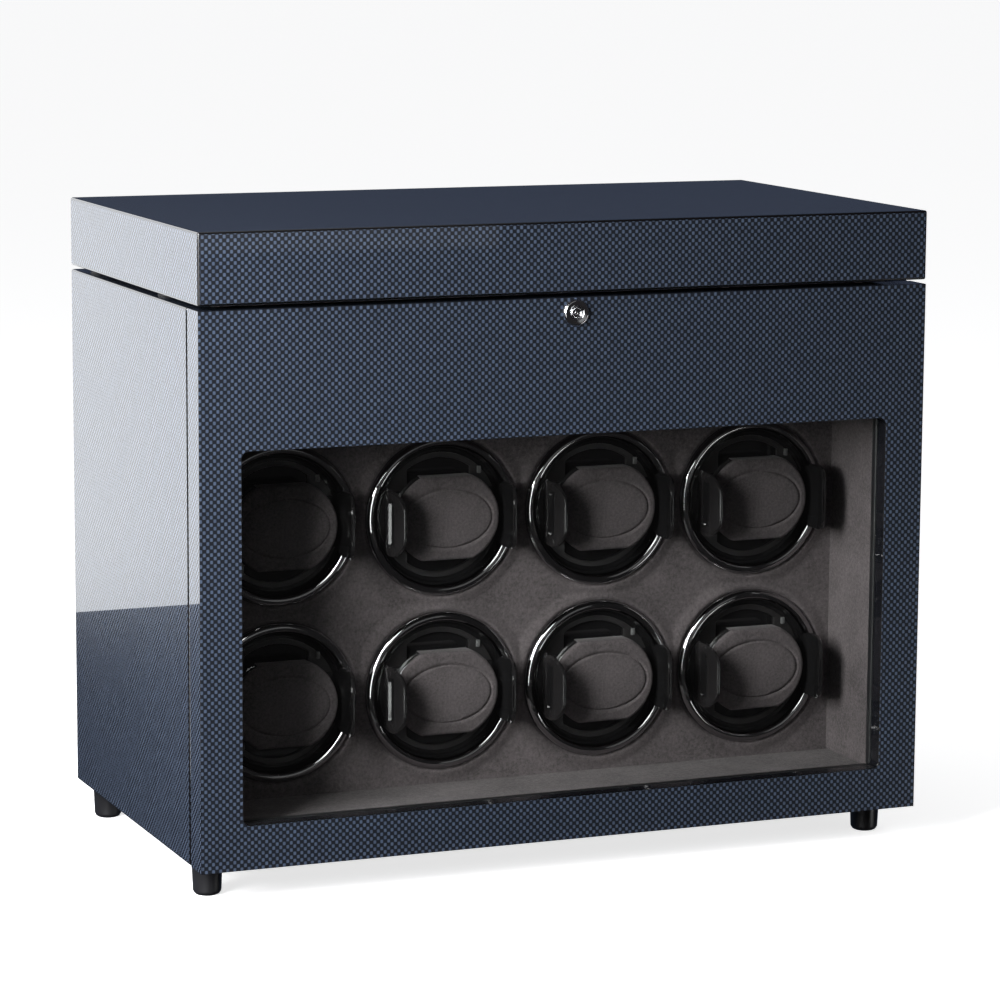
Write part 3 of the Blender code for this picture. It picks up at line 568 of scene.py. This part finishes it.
def make_panel():
    centres = [rotor_centre(n) for n in ROTORS]
    width, height = PANEL_HIGH.x - PANEL_LOW.x, PANEL_HIGH.z - PANEL_LOW.z
    columns, rows = round(width / GRID / MM), round(height / GRID / MM)
    vertices, inside = [], []
    for row in range(rows + 1):
        for column in range(columns + 1):
            x = PANEL_LOW.x + width * column / columns
            z = PANEL_LOW.z + height * row / rows
            away, nearest = min(((Vector((x, PANEL_FACE, z)) - c).length / MM, n)
                                for n, c in enumerate(centres))
            # The points nearest to a hole are moved onto its edge.
            if HOLE - GRID * 0.75 < away < HOLE + GRID * 0.5:
                c = centres[nearest]
                x, z = c.x + (x - c.x) * HOLE / away, c.z + (z - c.z) * HOLE / away
                away = HOLE
            vertices.append((x, PANEL_FACE - collar(away) * MM, z))
            inside.append(away < HOLE - 1e-3)
    faces = []
    for row in range(rows):
        for column in range(columns):
            first = row * (columns + 1) + column
            corners = (first, first + 1, first + columns + 2, first + columns + 1)
            if not any(inside[c] for c in corners):
                faces.append(corners)
    mesh = bpy.data.meshes.new("rotor_board")
    mesh.from_pydata(vertices, [], faces)
    shape = bmesh.new()
    shape.from_mesh(mesh)
    bmesh.ops.delete(shape, geom=[v for v in shape.verts if not v.link_faces], context="VERTS")
    shape.to_mesh(mesh)
    shape.free()
    mesh.materials.append(SUEDE)
    mesh.shade_smooth()
    made = link("rotor_board", mesh)
    shell = made.modifiers.new("thickness", "SOLIDIFY")
    shell.thickness = 7 * MM
    shell.offset = -1.0
    stand_for(made, "case", "rotor_panel", "suede_board")


# ---- Rotors, in mm: across and up from the axis, and forward from the panel's face

FACE_LEVEL = -3.0
FACE_BACK = FACE_LEVEL - 2.4
FACE_RADIUS = 35.5
BEZEL_START = 38.6
POCKET_RADIUS = 32.5
POCKET_HALF = 18.9
POCKET_BACK = FACE_LEVEL - 8.0


def rotor_profile():
    """The cup with its bezel, from the face's rim round the outside to the hub, in mm."""
    hub_back = PANEL_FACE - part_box("rotor_cup_1")[1].y
    bezel = [
        (35.6, FACE_BACK), (35.6, FACE_LEVEL + 0.5), (36.3, FACE_LEVEL + 0.5),
        (36.6, FACE_LEVEL), (37.4, FACE_LEVEL), (39.6, 2.2), (40.6, 3.6), (42.4, 4.2),
        (44.2, 3.5), (45.4, 1.9), (45.6, 0.5), (41.4, 0.5), (40.8, 0.0),
    ]
    cup = [(39.9, -40), (20, -40), (20, -49), (22.6, -49), (22.6, -50.5), (9, -50.5)]
    back = [(9, hub_back / MM), (3.1, hub_back / MM), (3.1, -40.2), (1.0, -40.2)]
    inside = [(1.0, -38.0), (38.2, -38.0), (38.9, -5.4), (35.6, -5.4)]
    return rounded(bezel, 0.9) + rounded(cup, 0.4, 2) + back + rounded(inside, 1.5, 3)


def closed_lathe(name, profile, material, place, steps):
    """A turned piece whose profile closes on itself."""
    return lathe(name, profile + [profile[0]], material, place, steps)


def make_shell(name, place):
    """The cup in gloss black, with the domed bezel plated."""
    made = closed_lathe(name, scaled(rotor_profile()), GLOSS_BLACK, place, 128)
    made.data.materials.append(BEZEL)
    for face in made.data.polygons:
        middle = face.center
        if math.hypot(middle.x, middle.z) > BEZEL_START * MM and middle.y < -0.4 * MM:
            face.material_index = 1
    return made


def pocket_reach(angle):
    """How far the pocket reaches from the axis in a direction, in mm."""
    return min(POCKET_RADIUS, POCKET_HALF / max(abs(math.cos(angle)), TINY))


def make_face(name, place):
    """The face plate with its upright pocket, which has a rounded lip and walls behind it."""
    steps = 144
    edge = math.acos(POCKET_HALF / POCKET_RADIUS)
    corners = (edge, math.pi - edge, math.pi + edge, 2 * math.pi - edge)
    even = [2 * math.pi * n / steps for n in range(steps)]
    angles = sorted(even + [c + d for c in corners for d in (-0.012, 0.0, 0.012)])
    lip, wall = 0.7, 1.2
    rings = [
        lambda a: (FACE_RADIUS, FACE_BACK),
        lambda a: (FACE_RADIUS, FACE_LEVEL),
        lambda a: (pocket_reach(a) + lip + 0.5, FACE_LEVEL),
        lambda a: (pocket_reach(a) + lip * 0.3, FACE_LEVEL - lip * 0.3),
        lambda a: (pocket_reach(a), FACE_LEVEL - lip),
        lambda a: (pocket_reach(a), POCKET_BACK),
        lambda a: (pocket_reach(a) + wall, POCKET_BACK),
        lambda a: (pocket_reach(a) + wall, FACE_BACK),
    ]
    count = len(angles)
    vertices, faces = [], []
    for ring in rings:
        for angle in angles:
            radius, level = ring(angle)
            vertices.append((radius * math.cos(angle) * MM, -level * MM, radius * math.sin(angle) * MM))
    for row in range(len(rings)):
        below = (row + 1) % len(rings)
        for n in range(count):
            after = (n + 1) % count
            faces.append((row * count + n, row * count + after, below * count + after, below * count + n))
    return finish_mesh(name, vertices, faces, FACE_BLACK, place, 30)


# ---- Watch holders, in mm

PAD_WIDE = 31.0
PAD_TALL = 27.1
PAD_FLAT = 23.6
PAD_TOP = 13.4
EAR_STEPS = 46
EAR_THICK = 2.3
EAR_START = -0.6
EAR_REACH = 30.5


def ear_path(part):
    """(across, forward) of the right ear's inner face; part runs from its root to its tip."""
    root, bulge, tip = 31.7, 35.3, 31.5
    belly = (bulge - (root + tip) / 2) * math.sin(math.pi * part)
    return root + (tip - root) * part + belly, EAR_START + (EAR_REACH - EAR_START) * part


def ear_half_height(forward):
    """Narrow inside the bezel, tall in front of it, with a straight front and round corners."""
    corner, low, tall = 12.5, 13.6, 18.6
    bend = EAR_REACH - corner
    if forward <= bend:
        return low + (tall - low) * smooth_step(forward, -1.0, 9.0)
    along = min(1.0, (forward - bend) / corner)
    return tall - corner * (1 - math.sqrt(max(0.0, 1 - along ** 2)))


def ear_slot(forward, up):
    """1 inside the upright slot in the ear's outer face."""
    along = smooth_step(forward, 16.2, 17.0) * (1 - smooth_step(forward, 20.6, 21.6))
    return along * (1 - smooth_step(abs(up), 11.8, 13.2))


def ear_relief(forward, up):
    """How much the outer face is sunk: the slot, and a shallow step behind it."""
    slot_depth, step_depth = 1.5, 0.5
    step = step_depth * (1 - smooth_step(forward, 11.6, 12.4))
    return max(slot_depth * ear_slot(forward, up), step)


def ear_points(side):
    """Rings of points across the ear, each a closed loop through its outer and inner faces."""
    rings = []
    outer, inner, soft = 30, 10, 1.0
    thinning = 0.95
    for step in range(EAR_STEPS + 1):
        # The rings stand closer together towards the tip.
        share = step / EAR_STEPS
        part = 0.999 * (0.45 * share + 0.55 * math.sin(0.5 * math.pi * share))
        across, forward = ear_path(part)
        nearby = ear_path(part + 0.01)
        along = Vector((nearby[0] - across, nearby[1] - forward)).normalized()
        outward = Vector((along.y, -along.x))
        half = max(0.3, ear_half_height(forward))
        nose = max(0.0, (part - thinning) / (1 - thinning))
        slim = EAR_THICK * (1 - math.sqrt(max(0.02, 1 - nose ** 2))) / 2
        ring = []
        for n in range(outer + 1):
            up = half * (2 * n / outer - 1)
            turn = max(0.0, (abs(up) - (half - soft)) / soft)
            fall = soft * (1 - math.sqrt(max(0.0, 1 - turn ** 2)))
            offset = EAR_THICK - slim - fall - ear_relief(forward, up)
            ring.append((up, offset))
        for n in range(inner + 1):
            up = (half - 0.2) * (1 - 2 * n / inner)
            ring.append((up, slim))
        points = []
        for up, offset in ring:
            spot = Vector((across, forward)) + outward * offset
            points.append((side * spot.x * MM, -spot.y * MM, up * MM))
        rings.append(points)
    return rings


def box_rings(low, high, radius, count=4):
    """Rings of a block with round edges between two corners given in mm, along Y."""
    x0, y0, z0 = low
    x1, y1, z1 = high
    rings = []
    for y, shrink in ((y0, radius), (y0 + 0.3 * radius, 0.3 * radius), (y0 + radius, 0),
                      (y1 - radius, 0), (y1 - 0.3 * radius, 0.3 * radius), (y1, radius)):
        ring = []
        for quarter, (cx, cz) in enumerate(((x1, z1), (x0, z1), (x0, z0), (x1, z0))):
            mx = cx - math.copysign(radius, cx - (x0 + x1) / 2)
            mz = cz - math.copysign(radius, cz - (z0 + z1) / 2)
            for n in range(count + 1):
                angle = math.radians(90 * quarter + 90 * n / count)
                reach = max(radius - shrink, 0.02)
                ring.append((mx + reach * math.cos(angle), y, mz + reach * math.sin(angle)))
        rings.append([tuple(v * MM for v in p) for p in ring])
    return rings


def loft(rings, vertices, faces):
    """Adds a closed tube through rings of points, with its ends capped."""
    base, count = len(vertices), len(rings[0])
    for ring in rings:
        vertices.extend(ring)
    for row in range(len(rings) - 1):
        for n in range(count):
            after = (n + 1) % count
            first, second = base + row * count, base + (row + 1) * count
            faces.append((first + n, first + after, second + after, second + n))
    faces.append([base + n for n in range(count)])
    faces.append([base + (len(rings) - 1) * count + n for n in range(count)])


def make_holder(name, place):
    """Two springy ears on a base plate, with the core that plugs into the pocket behind it."""
    vertices, faces = [], []
    for side in (1, -1):
        loft(ear_points(side), vertices, faces)
    loft(box_rings((-32.6, 0.4, -14.6), (32.6, 2.6, 14.6), 0.8), vertices, faces)
    loft(box_rings((-14.8, 2.4, -14.6), (14.8, 15.8, 14.6), 1.6), vertices, faces)
    made = finish_mesh(name, vertices, faces, EAR_BLACK, place, 40)
    made.data.materials.append(GLOSS_BLACK)
    # The ears' inner faces and their slots take the glossier, darker black: a real change of gloss, with
    # painted shade in the slots and on the inner faces.
    ears_from = 28
    for face in made.data.polygons:
        across, forward, up = face.center.x / MM, -face.center.y / MM, face.center.z / MM
        facing = face.normal.x * math.copysign(1, across)
        glossy_and_shaded = facing < -0.4 or (facing > 0 and ear_slot(forward, up) > 0.5)
        if glossy_and_shaded and abs(across) > ears_from:
            face.material_index = 1
    return made


def pad_reach(angle, grow=0.0):
    """The pad's outline as a distance from its middle: an oval with a flat top and bottom."""
    c, s = math.cos(angle), math.sin(angle)
    oval = 1 / math.hypot(c / (PAD_WIDE + grow), s / (PAD_TALL + grow))
    return min(oval, (PAD_FLAT + grow) / max(abs(s), TINY))


def pad_angles():
    """Even steps, with closer ones at the four corners where the flats meet the oval."""
    corner = math.atan2(PAD_FLAT, PAD_WIDE * math.sqrt(1 - (PAD_FLAT / PAD_TALL) ** 2))
    corners = (corner, math.pi - corner, math.pi + corner, 2 * math.pi - corner)
    steps = 88
    even = [2 * math.pi * n / steps for n in range(steps)]
    even = [a for a in even if min(abs(a - c) for c in corners) > 0.03]
    return sorted(even + [c + d for c in corners for d in (-0.016, 0.016)]), corner


def make_rim(name, place):
    """The black shell behind the pad, with two ridges round it: (growth, forward) at each level."""
    levels = [(-2.0, 0.8), (-1.1, 0.8), (-0.6, 2.4), (-0.1, 2.9), (-0.1, 3.5), (-0.9, 4.0),
              (-0.9, 6.2), (-0.2, 6.7), (-0.2, 7.3), (-0.8, 7.8), (-0.8, 9.9), (-3.0, 9.9)]
    angles, _ = pad_angles()
    rings = []
    for grow, forward in levels:
        ring = []
        for angle in angles:
            reach = pad_reach(angle, grow - 0.2)
            ring.append((reach * math.cos(angle) * MM, -forward * MM, reach * math.sin(angle) * MM))
        rings.append(ring)
    vertices, faces = [], []
    loft(rings, vertices, faces)
    return finish_mesh(name, vertices, faces, EAR_BLACK, place, 50)


def make_pad(name, place):
    """A crowned suede cushion with a pressed oval line."""
    angles, corner = pad_angles()
    groove_wide, groove_tall = 26.4, 16.6
    rings = []

    def ring_at(reach, height):
        ring = []
        for angle in angles:
            r, h = reach(angle), height(angle)
            ring.append((r * math.cos(angle) * MM, -h * MM, r * math.sin(angle) * MM))
        rings.append(ring)

    def groove_reach(angle):
        return 1 / math.hypot(math.cos(angle) / groove_wide, math.sin(angle) / groove_tall)

    def crown(radius, angle):
        return PAD_TOP - 1.3 * (radius / pad_reach(angle)) ** 2.4

    for share in (0.04, 0.3, 0.55, 0.75, 0.88, 0.95):
        ring_at(lambda a: share * groove_reach(a), lambda a: crown(share * groove_reach(a), a))
    for offset, sunk in ((-0.9, 0.05), (-0.4, 0.6), (0.0, 0.85), (0.4, 0.6), (0.9, 0.05)):
        ring_at(lambda a: groove_reach(a) + offset,
                lambda a: crown(groove_reach(a), a) - sunk)
    edge = 2.0
    for share in (0.3, 0.6, 0.85):
        def between(angle):
            start = groove_reach(angle) + 1.1
            return start + (pad_reach(angle) - edge - start) * share
        ring_at(between, lambda a: crown(between(a), a))
    for n in range(5):
        turn = math.radians(90 * n / 4)
        ring_at(lambda a: pad_reach(a) - edge * (1 - math.sin(turn)),
                lambda a: crown(pad_reach(a) - edge, a) - edge * (1 - math.cos(turn)))

    def is_flat(angle):
        return corner < angle % math.pi < math.pi - corner

    # The flats wrap back for the strap, and the round sides end at the shell.
    ring_at(pad_reach, lambda a: 5.0 if is_flat(a) else 9.4)
    ring_at(pad_reach, lambda a: 1.6 if is_flat(a) else 9.1)
    ring_at(lambda a: pad_reach(a) - 0.9, lambda a: 0.9 if is_flat(a) else 8.9)
    ring_at(lambda a: pad_reach(a) - 6, lambda a: 0.9 if is_flat(a) else 8.9)
    vertices, faces = [], []
    loft(rings, vertices, faces)
    return finish_mesh(name, vertices, faces, PAD_SUEDE, place, 80)


def make_tab(name, place):
    """A small light stop moulded on the face, at the upper right."""
    vertices, faces = [], []
    loft(box_rings((-1.1, -1.4, -2.0), (1.1, 1.2, 2.0), 0.4), vertices, faces)
    spot = Vector(place) + Vector((24.0, -FACE_LEVEL, 24.6)) * MM
    return finish_mesh(name, vertices, faces, STOP_GREY, spot, 40)


def make_rotors():
    first = rotor_centre(1)
    makers = {
        "rotor_shell": (make_shell, "rotor", "rotor_cup", "rotor_plastic"),
        "rotor_face": (make_face, "rotor", None, "rotor_plastic"),
        "rotor_stop": (make_tab, "rotor", None, None),
        "holder_frame": (make_holder, "holder", "watch_holder", "holder_plastic"),
        "pad_shell": (make_rim, "holder", None, "holder_plastic"),
        "watch_pad": (make_pad, "holder", "holder_pad", "suede"),
    }
    for title, (maker, body, node, slot) in makers.items():
        original = maker(f"{title}_1", first)
        start = original.location.copy()
        spots = [start + (rotor_centre(number) - first) for number in ROTORS]
        for number, made in zip(ROTORS, repeat(original, title, spots)):
            stand_for(made, f"{body}_{number}", f"{node}_{number}" if node else None, slot)


# ---- Lock and feet


def make_lock():
    """A chrome rosette round the key cylinder; both stand proud of the door by the same amount."""
    low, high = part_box("lock_housing")
    centre = Vector(((low.x + high.x) / 2, DOOR_LOW.y, (low.z + high.z) / 2))
    top, back = (DOOR_LOW.y - low.y) / MM, (DOOR_LOW.y - high.y) / MM
    profile = [(3.9, top - 1.2), (3.9, top - 0.4), (4.3, top - 0.15), (6.3, top - 0.05), (6.7, top - 0.1),
               (7.4, top - 0.9), (7.4, 0.12), (5.9, 0.12), (5.9, back), (3.9, back)]
    made = closed_lathe("lock_rosette", scaled(rounded(profile, 0.2)), CHROME, centre, 96)
    stand_for(made, "door", "lock_housing", "chrome")
    core = [(0, top - 0.9), (0.9, top - 1.0), (1.2, top - 1.4), (1.2, top - 3.0), (2.3, top - 3.0)]
    ring = [(2.3, top - 0.8), (2.6, top - 0.2), (3.1, top), (3.5, top - 0.4), (3.6, top - 1.2)]
    shank = [(3.6, back - 0.2), (1.9, back - 0.2), (1.9, back - 2.0), (0, back - 2.0)]
    plug = lathe("lock_plug", scaled(rounded(core + ring + shank, 0.2)), CHROME, centre, 64)
    slot_low = centre + Vector((-0.5, -5, 1.5)) * MM
    slot_high = centre + Vector((0.5, 0.6, 2.7)) * MM
    # The slot's walls take satin black from the cutter: painted shade in the keyway of the chrome plug.
    cut(plug, board("key_slot", slot_low, slot_high, SATIN_BLACK))
    stand_for(plug, "lock", "lock_cylinder", "chrome")


def make_feet():
    for name in ("foot_front_left", "foot_front_right", "foot_rear_left", "foot_rear_right"):
        low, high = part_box(name)
        top = (high.z - low.z) / MM
        wide = (high.x - low.x) / 2 / MM
        profile = [(0, top), (wide, top), (wide, top - 1.2), (wide - 0.35, top - 1.6),
                   (wide - 1.0, 2.2), (wide - 2.0, 0.6), (wide - 3.4, 0), (0, 0)]
        centre = Vector(((low.x + high.x) / 2, (low.y + high.y) / 2, low.z))
        made = lathe(name.replace("foot", "round_foot"), scaled(rounded(profile, 0.5, 3)),
                     FOOT_BLACK, centre, 64, "up")
        stand_for(made, "case", name, "foot_plastic")


# ---- Small fittings


def make_screw(name, place):
    """A countersunk cross-head screw that faces the back."""
    radius = 2.6
    profile = [(0, 0.35), (radius * 0.6, 0.3), (radius, 0.02), (radius * 0.5, -1.6), (0, -1.6)]
    head = lathe(name, scaled(profile), NICKEL, (0, 0, 0), 32, "up", 25)
    long, narrow, deep, above = radius * 0.55 * MM, 0.28 * MM, 0.5 * MM, 2 * MM
    # The cross's walls take satin black from the cutters: painted shade in the recess of the nickel head.
    for wide, tall in ((long, narrow), (narrow, long)):
        cut(head, board("cross", (-wide, -tall, -deep), (wide, tall, above), SATIN_BLACK))
    head.data.transform(Matrix.Rotation(math.radians(-90), 4, "X"))
    head.location = place
    return head


def make_glazing():
    """Black strips that hold the pane in its rebate, seen from the back of the door."""
    wide = 6.0 * MM
    near, far = PANE_HIGH.y + 0.2 * MM, DOOR_HIGH.y - 0.5 * MM
    low, high = PANE_LOW, PANE_HIGH
    strips = {
        "glazing_strip_left": ((low.x, near, low.z), (low.x + wide, far, high.z)),
        "glazing_strip_right": ((high.x - wide, near, low.z), (high.x, far, high.z)),
        "glazing_strip_bottom": ((low.x + wide, near, low.z), (high.x - wide, far, low.z + wide)),
        "glazing_strip_top": ((low.x + wide, near, high.z - wide), (high.x - wide, far, high.z)),
    }
    for name, (start, end) in strips.items():
        stand_for(board(name, start, end, SATIN_BLACK, 0.8 * MM, 3), "door", None, "black_board")


def make_bumpers():
    """Soft round buttons on the case's rim, where the lid comes to rest."""
    gap = (LID_LOW.z - LEFT_HIGH.z) / MM
    profile = [(0, gap - 0.25), (2.6, gap - 0.4), (3.8, gap - 1.1), (4.2, 0.05), (0, 0.05)]
    left, right = (LEFT_LOW.x + LEFT_HIGH.x) / 2, (RIGHT_LOW.x + RIGHT_HIGH.x) / 2
    front, rear = LEFT_LOW.y + 60 * MM, LEFT_HIGH.y - 30 * MM
    spots = [(x, y, LEFT_HIGH.z) for y in (front, rear) for x in (left, right)]
    first = lathe("lid_bumper_1", scaled(rounded(profile, 0.5, 3)), RUBBER, spots[0], 32, "up")
    for made in repeat(first, "lid_bumper", spots):
        stand_for(made, "case", None, "foot_plastic")


def make_display_marks():
    """A small ring and a bar for each rotor, printed under the control display's glass."""
    low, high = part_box("control_display")
    profile = [(2.4, 0.02), (3.0, 0.02), (3.0, 0.08), (2.4, 0.08)]
    ring = closed_lathe("display_ring_1", scaled(profile), PRINT, (0, 0, 0), 32)
    ring.data.transform(Matrix.Rotation(math.radians(-90), 4, "X"))
    bar_low, bar_high = scaled([(-3.0, -0.4, 0.02), (3.0, 0.4, 0.08)])
    bar = board("display_bar_1", bar_low, bar_high, PRINT)
    columns = 4
    ring_spots = []
    for number in range(len(ROTORS)):
        column, row = number % columns, number // columns
        x = low.x + (high.x - low.x) * (0.14 + 0.24 * column)
        y = high.y - (high.y - low.y) * (0.28 + 0.46 * row)
        ring_spots.append((x, y, high.z))
    bar_spots = [(x, y - 5.6 * MM, z) for x, y, z in ring_spots]
    for first, title, spots in ((ring, "display_ring", ring_spots), (bar, "display_bar", bar_spots)):
        for made in repeat(first, title, spots):
            stand_for(made, "case")


def make_back_screws():
    """Three screws up each side of the back panel, and two along its top and its bottom."""
    y = BACK_HIGH.y
    side, from_top = 7 * MM, 12 * MM
    bottom, top = BACK_LOW.z + side, BACK_HIGH.z - from_top
    spots = []
    for z in (bottom, (BACK_LOW.z + BACK_HIGH.z) / 2, top):
        spots += [(BACK_LOW.x + side, y, z), (BACK_HIGH.x - side, y, z)]
    for part in (0.33, 0.67):
        x = BACK_LOW.x + (BACK_HIGH.x - BACK_LOW.x) * part
        spots += [(x, y, bottom), (x, y, top)]
    for made in repeat(make_screw("back_screw_1", spots[0]), "back_screw", spots):
        stand_for(made, "case", None, "hinge_steel")


# ---- Finishes of the CAD nodes that stay


def paint(names, material):
    for name in names:
        slots = NODES[name].data.materials
        slots.clear()
        slots.append(material)


def paint_frame():
    """Satin black first, on the back panel, the drive plate and all others, then the exceptions."""
    drives = [f"drive_motor_{n}" for n in range(1, 5)]
    belts = [f"drive_belt_{n}" for n in range(1, 5)]
    hinges = [n for n in NODES if "hinge" in n]
    paint(NODES, SATIN_BLACK)
    paint(["storage_tray", "lid_lining"], SUEDE)
    paint(["window_pane"], GLASS)
    paint(["control_display"], SCREEN)
    paint(["circuit_board"], BOARD_GREEN)
    paint(["power_inlet"], EAR_BLACK)
    paint(["strike_plate"], CHROME)
    paint(hinges + ["lock_cam"], NICKEL)
    paint(drives, ZINC)
    paint(belts, RUBBER)


# ---- Studio


def make_camera():
    """The view that the box's corners give: about 2.2 m away, 22 degrees to the left, 9 down."""
    place = (-0.8247, -2.0072, 0.5423)
    yaw, pitch, roll = 0.3912, 0.1599, 0.0059
    data = bpy.data.cameras.new("camera")
    data.lens = 137.1
    data.sensor_width = 36.0
    camera = bpy.data.objects.new("camera", data)
    bpy.context.scene.collection.objects.link(camera)
    turn = Matrix.Rotation(-yaw, 4, "Z") @ Matrix.Rotation(math.pi / 2 - pitch, 4, "X")
    turn = turn @ Matrix.Rotation(roll, 4, "Z")
    camera.matrix_world = Matrix.Translation(place) @ turn
    bpy.context.scene.camera = camera
    bpy.context.scene.view_settings.view_transform = "Standard"


def make_stage():
    """A pale floor that glows a little, so that it stays near white and keeps a soft shadow."""
    mesh = bpy.data.meshes.new("floor")
    reach = 90.0
    corners = [(-reach, -reach, 0), (reach, -reach, 0), (reach, reach, 0), (-reach, reach, 0)]
    mesh.from_pydata(corners, [], [(0, 1, 2, 3)])
    floor = link("floor", mesh)
    finish = Finish("pale_floor", (0.85, 0.85, 0.86), 0.9)
    finish.set("Emission Color", (1, 1, 1, 1))
    finish.set("Emission Strength", 0.75)
    mesh.materials.append(finish.material)
    floor.visible_glossy = False
    floor.visible_diffuse = False


def make_world():
    """White to the camera, dim to rough surfaces, and a dark room to polished ones."""
    world = bpy.data.worlds.new("studio")
    bpy.context.scene.world = world
    world.use_nodes = True
    tree = world.node_tree
    tree.nodes.clear()
    out = tree.nodes.new("ShaderNodeOutputWorld")
    path = tree.nodes.new("ShaderNodeLightPath")

    def glow(colour, strength):
        node = tree.nodes.new("ShaderNodeBackground")
        node.inputs["Color"].default_value = (*colour, 1)
        node.inputs["Strength"].default_value = strength
        return node

    def choose(share, first, second):
        mixer = tree.nodes.new("ShaderNodeMixShader")
        tree.links.new(path.outputs[share], mixer.inputs[0])
        tree.links.new(first.outputs[0], mixer.inputs[1])
        tree.links.new(second.outputs[0], mixer.inputs[2])
        return mixer

    rough = glow((0.98, 0.99, 1.0), 1.0)
    where = tree.nodes.new("ShaderNodeTexCoord")
    split = tree.nodes.new("ShaderNodeSeparateXYZ")
    tree.links.new(where.outputs["Generated"], split.inputs[0])

    def rising(axis, low, high, to_low, to_high, kind="SMOOTHSTEP"):
        node = tree.nodes.new("ShaderNodeMapRange")
        node.interpolation_type = kind
        for index, value in enumerate((low, high, to_low, to_high), start=1):
            node.inputs[index].default_value = value
        tree.links.new(split.outputs[axis], node.inputs[0])
        return node.outputs[0]

    # Rough surfaces get a little light from the sides and more from above.
    total = tree.nodes.new("ShaderNodeMath")
    tree.links.new(rising("Z", -0.1, 0.2, 0.02, 0.05), total.inputs[0])
    tree.links.new(rising("Z", 0.45, 0.95, 0.0, 0.40), total.inputs[1])
    tree.links.new(total.outputs[0], rough.inputs["Strength"])
    # Polished surfaces see a grey room in front of the box and a blue one behind it.
    room = glow((1, 1, 1), 1.0)
    tint = tree.nodes.new("ShaderNodeMix")
    tint.data_type = "RGBA"
    tint.inputs[6].default_value = (0.020, 0.019, 0.020, 1)
    tint.inputs[7].default_value = (0.038, 0.048, 0.076, 1)
    tree.links.new(rising("Y", -0.2, 0.3, 0.0, 1.0, "LINEAR"), tint.inputs[0])
    tree.links.new(tint.outputs[2], room.inputs["Color"])
    polished = choose("Is Glossy Ray", rough, room)
    seen = choose("Is Camera Ray", polished, glow((1, 1, 1), 1.0))
    tree.links.new(seen.outputs[0], out.inputs["Surface"])


def soft_box(name, place, target, width, height, watts):
    """A rectangular light aimed at a target."""
    data = bpy.data.lights.new(name, "AREA")
    data.shape = "RECTANGLE"
    data.size, data.size_y = width, height
    data.energy = watts
    light = bpy.data.objects.new(name, data)
    bpy.context.scene.collection.objects.link(light)
    light.location = place
    aim = Vector(target) - Vector(place)
    light.rotation_euler = aim.to_track_quat("-Z", "Y").to_euler()


def reflector(name, place, target, width, height, strength, colour=(1, 1, 1)):
    """A bright card that only polished surfaces see."""
    mesh = bpy.data.meshes.new(name)
    w, h = width / 2, height / 2
    mesh.from_pydata([(-w, -h, 0), (w, -h, 0), (w, h, 0), (-w, h, 0)], [], [(0, 1, 2, 3)])
    card = link(name, mesh, place)
    aim = Vector(target) - Vector(place)
    card.rotation_euler = aim.to_track_quat("-Z", "Y").to_euler()
    material = bpy.data.materials.new(name)
    material.use_nodes = True
    tree = material.node_tree
    tree.nodes.clear()
    glow = tree.nodes.new("ShaderNodeEmission")
    glow.inputs["Color"].default_value = (*colour, 1)
    glow.inputs["Strength"].default_value = strength
    out = tree.nodes.new("ShaderNodeOutputMaterial")
    tree.links.new(glow.outputs[0], out.inputs["Surface"])
    mesh.materials.append(material)
    card.visible_camera = False
    card.visible_diffuse = False
    card.visible_shadow = False
    card.visible_transmission = False


def make_lights():
    middle = (0, 0, 0.17)
    soft_box("key_left", (-0.86, -0.56, 0.56), (0.05, 0, 0.14), 0.4, 0.6, 28)
    soft_box("fill_front", (0.3, -2.4, 0.7), middle, 1.2, 1.2, 1.0)
    soft_box("top_light", (-0.2, 0.7, 2.2), middle, 2.0, 1.6, 6)
    reflector("left_card", (-0.68, 0.60, 0.624), (-0.68, 0, 0.624), 1.0, 1.2, 1.8, (0.95, 0.97, 1.0))
    reflector("arc_card_high", (-0.62, -1.02, 0.80), middle, 0.62, 0.42, 6.0)
    reflector("arc_card_low", (-0.78, -0.96, 0.14), middle, 0.5, 0.62, 6.0)
    reflector("low_card", (0.86, -0.80, -0.16), middle, 0.30, 0.5, 3.0)


def main():
    paint_frame()
    make_case()
    make_lid()
    make_door()
    make_linings()
    make_storage_linings()
    make_lid_cushion()
    make_glazing()
    make_bumpers()
    make_display_marks()
    make_panel()
    make_rotors()
    make_lock()
    make_feet()
    make_back_screws()
    make_camera()
    make_stage()
    make_world()
    make_lights()


main()
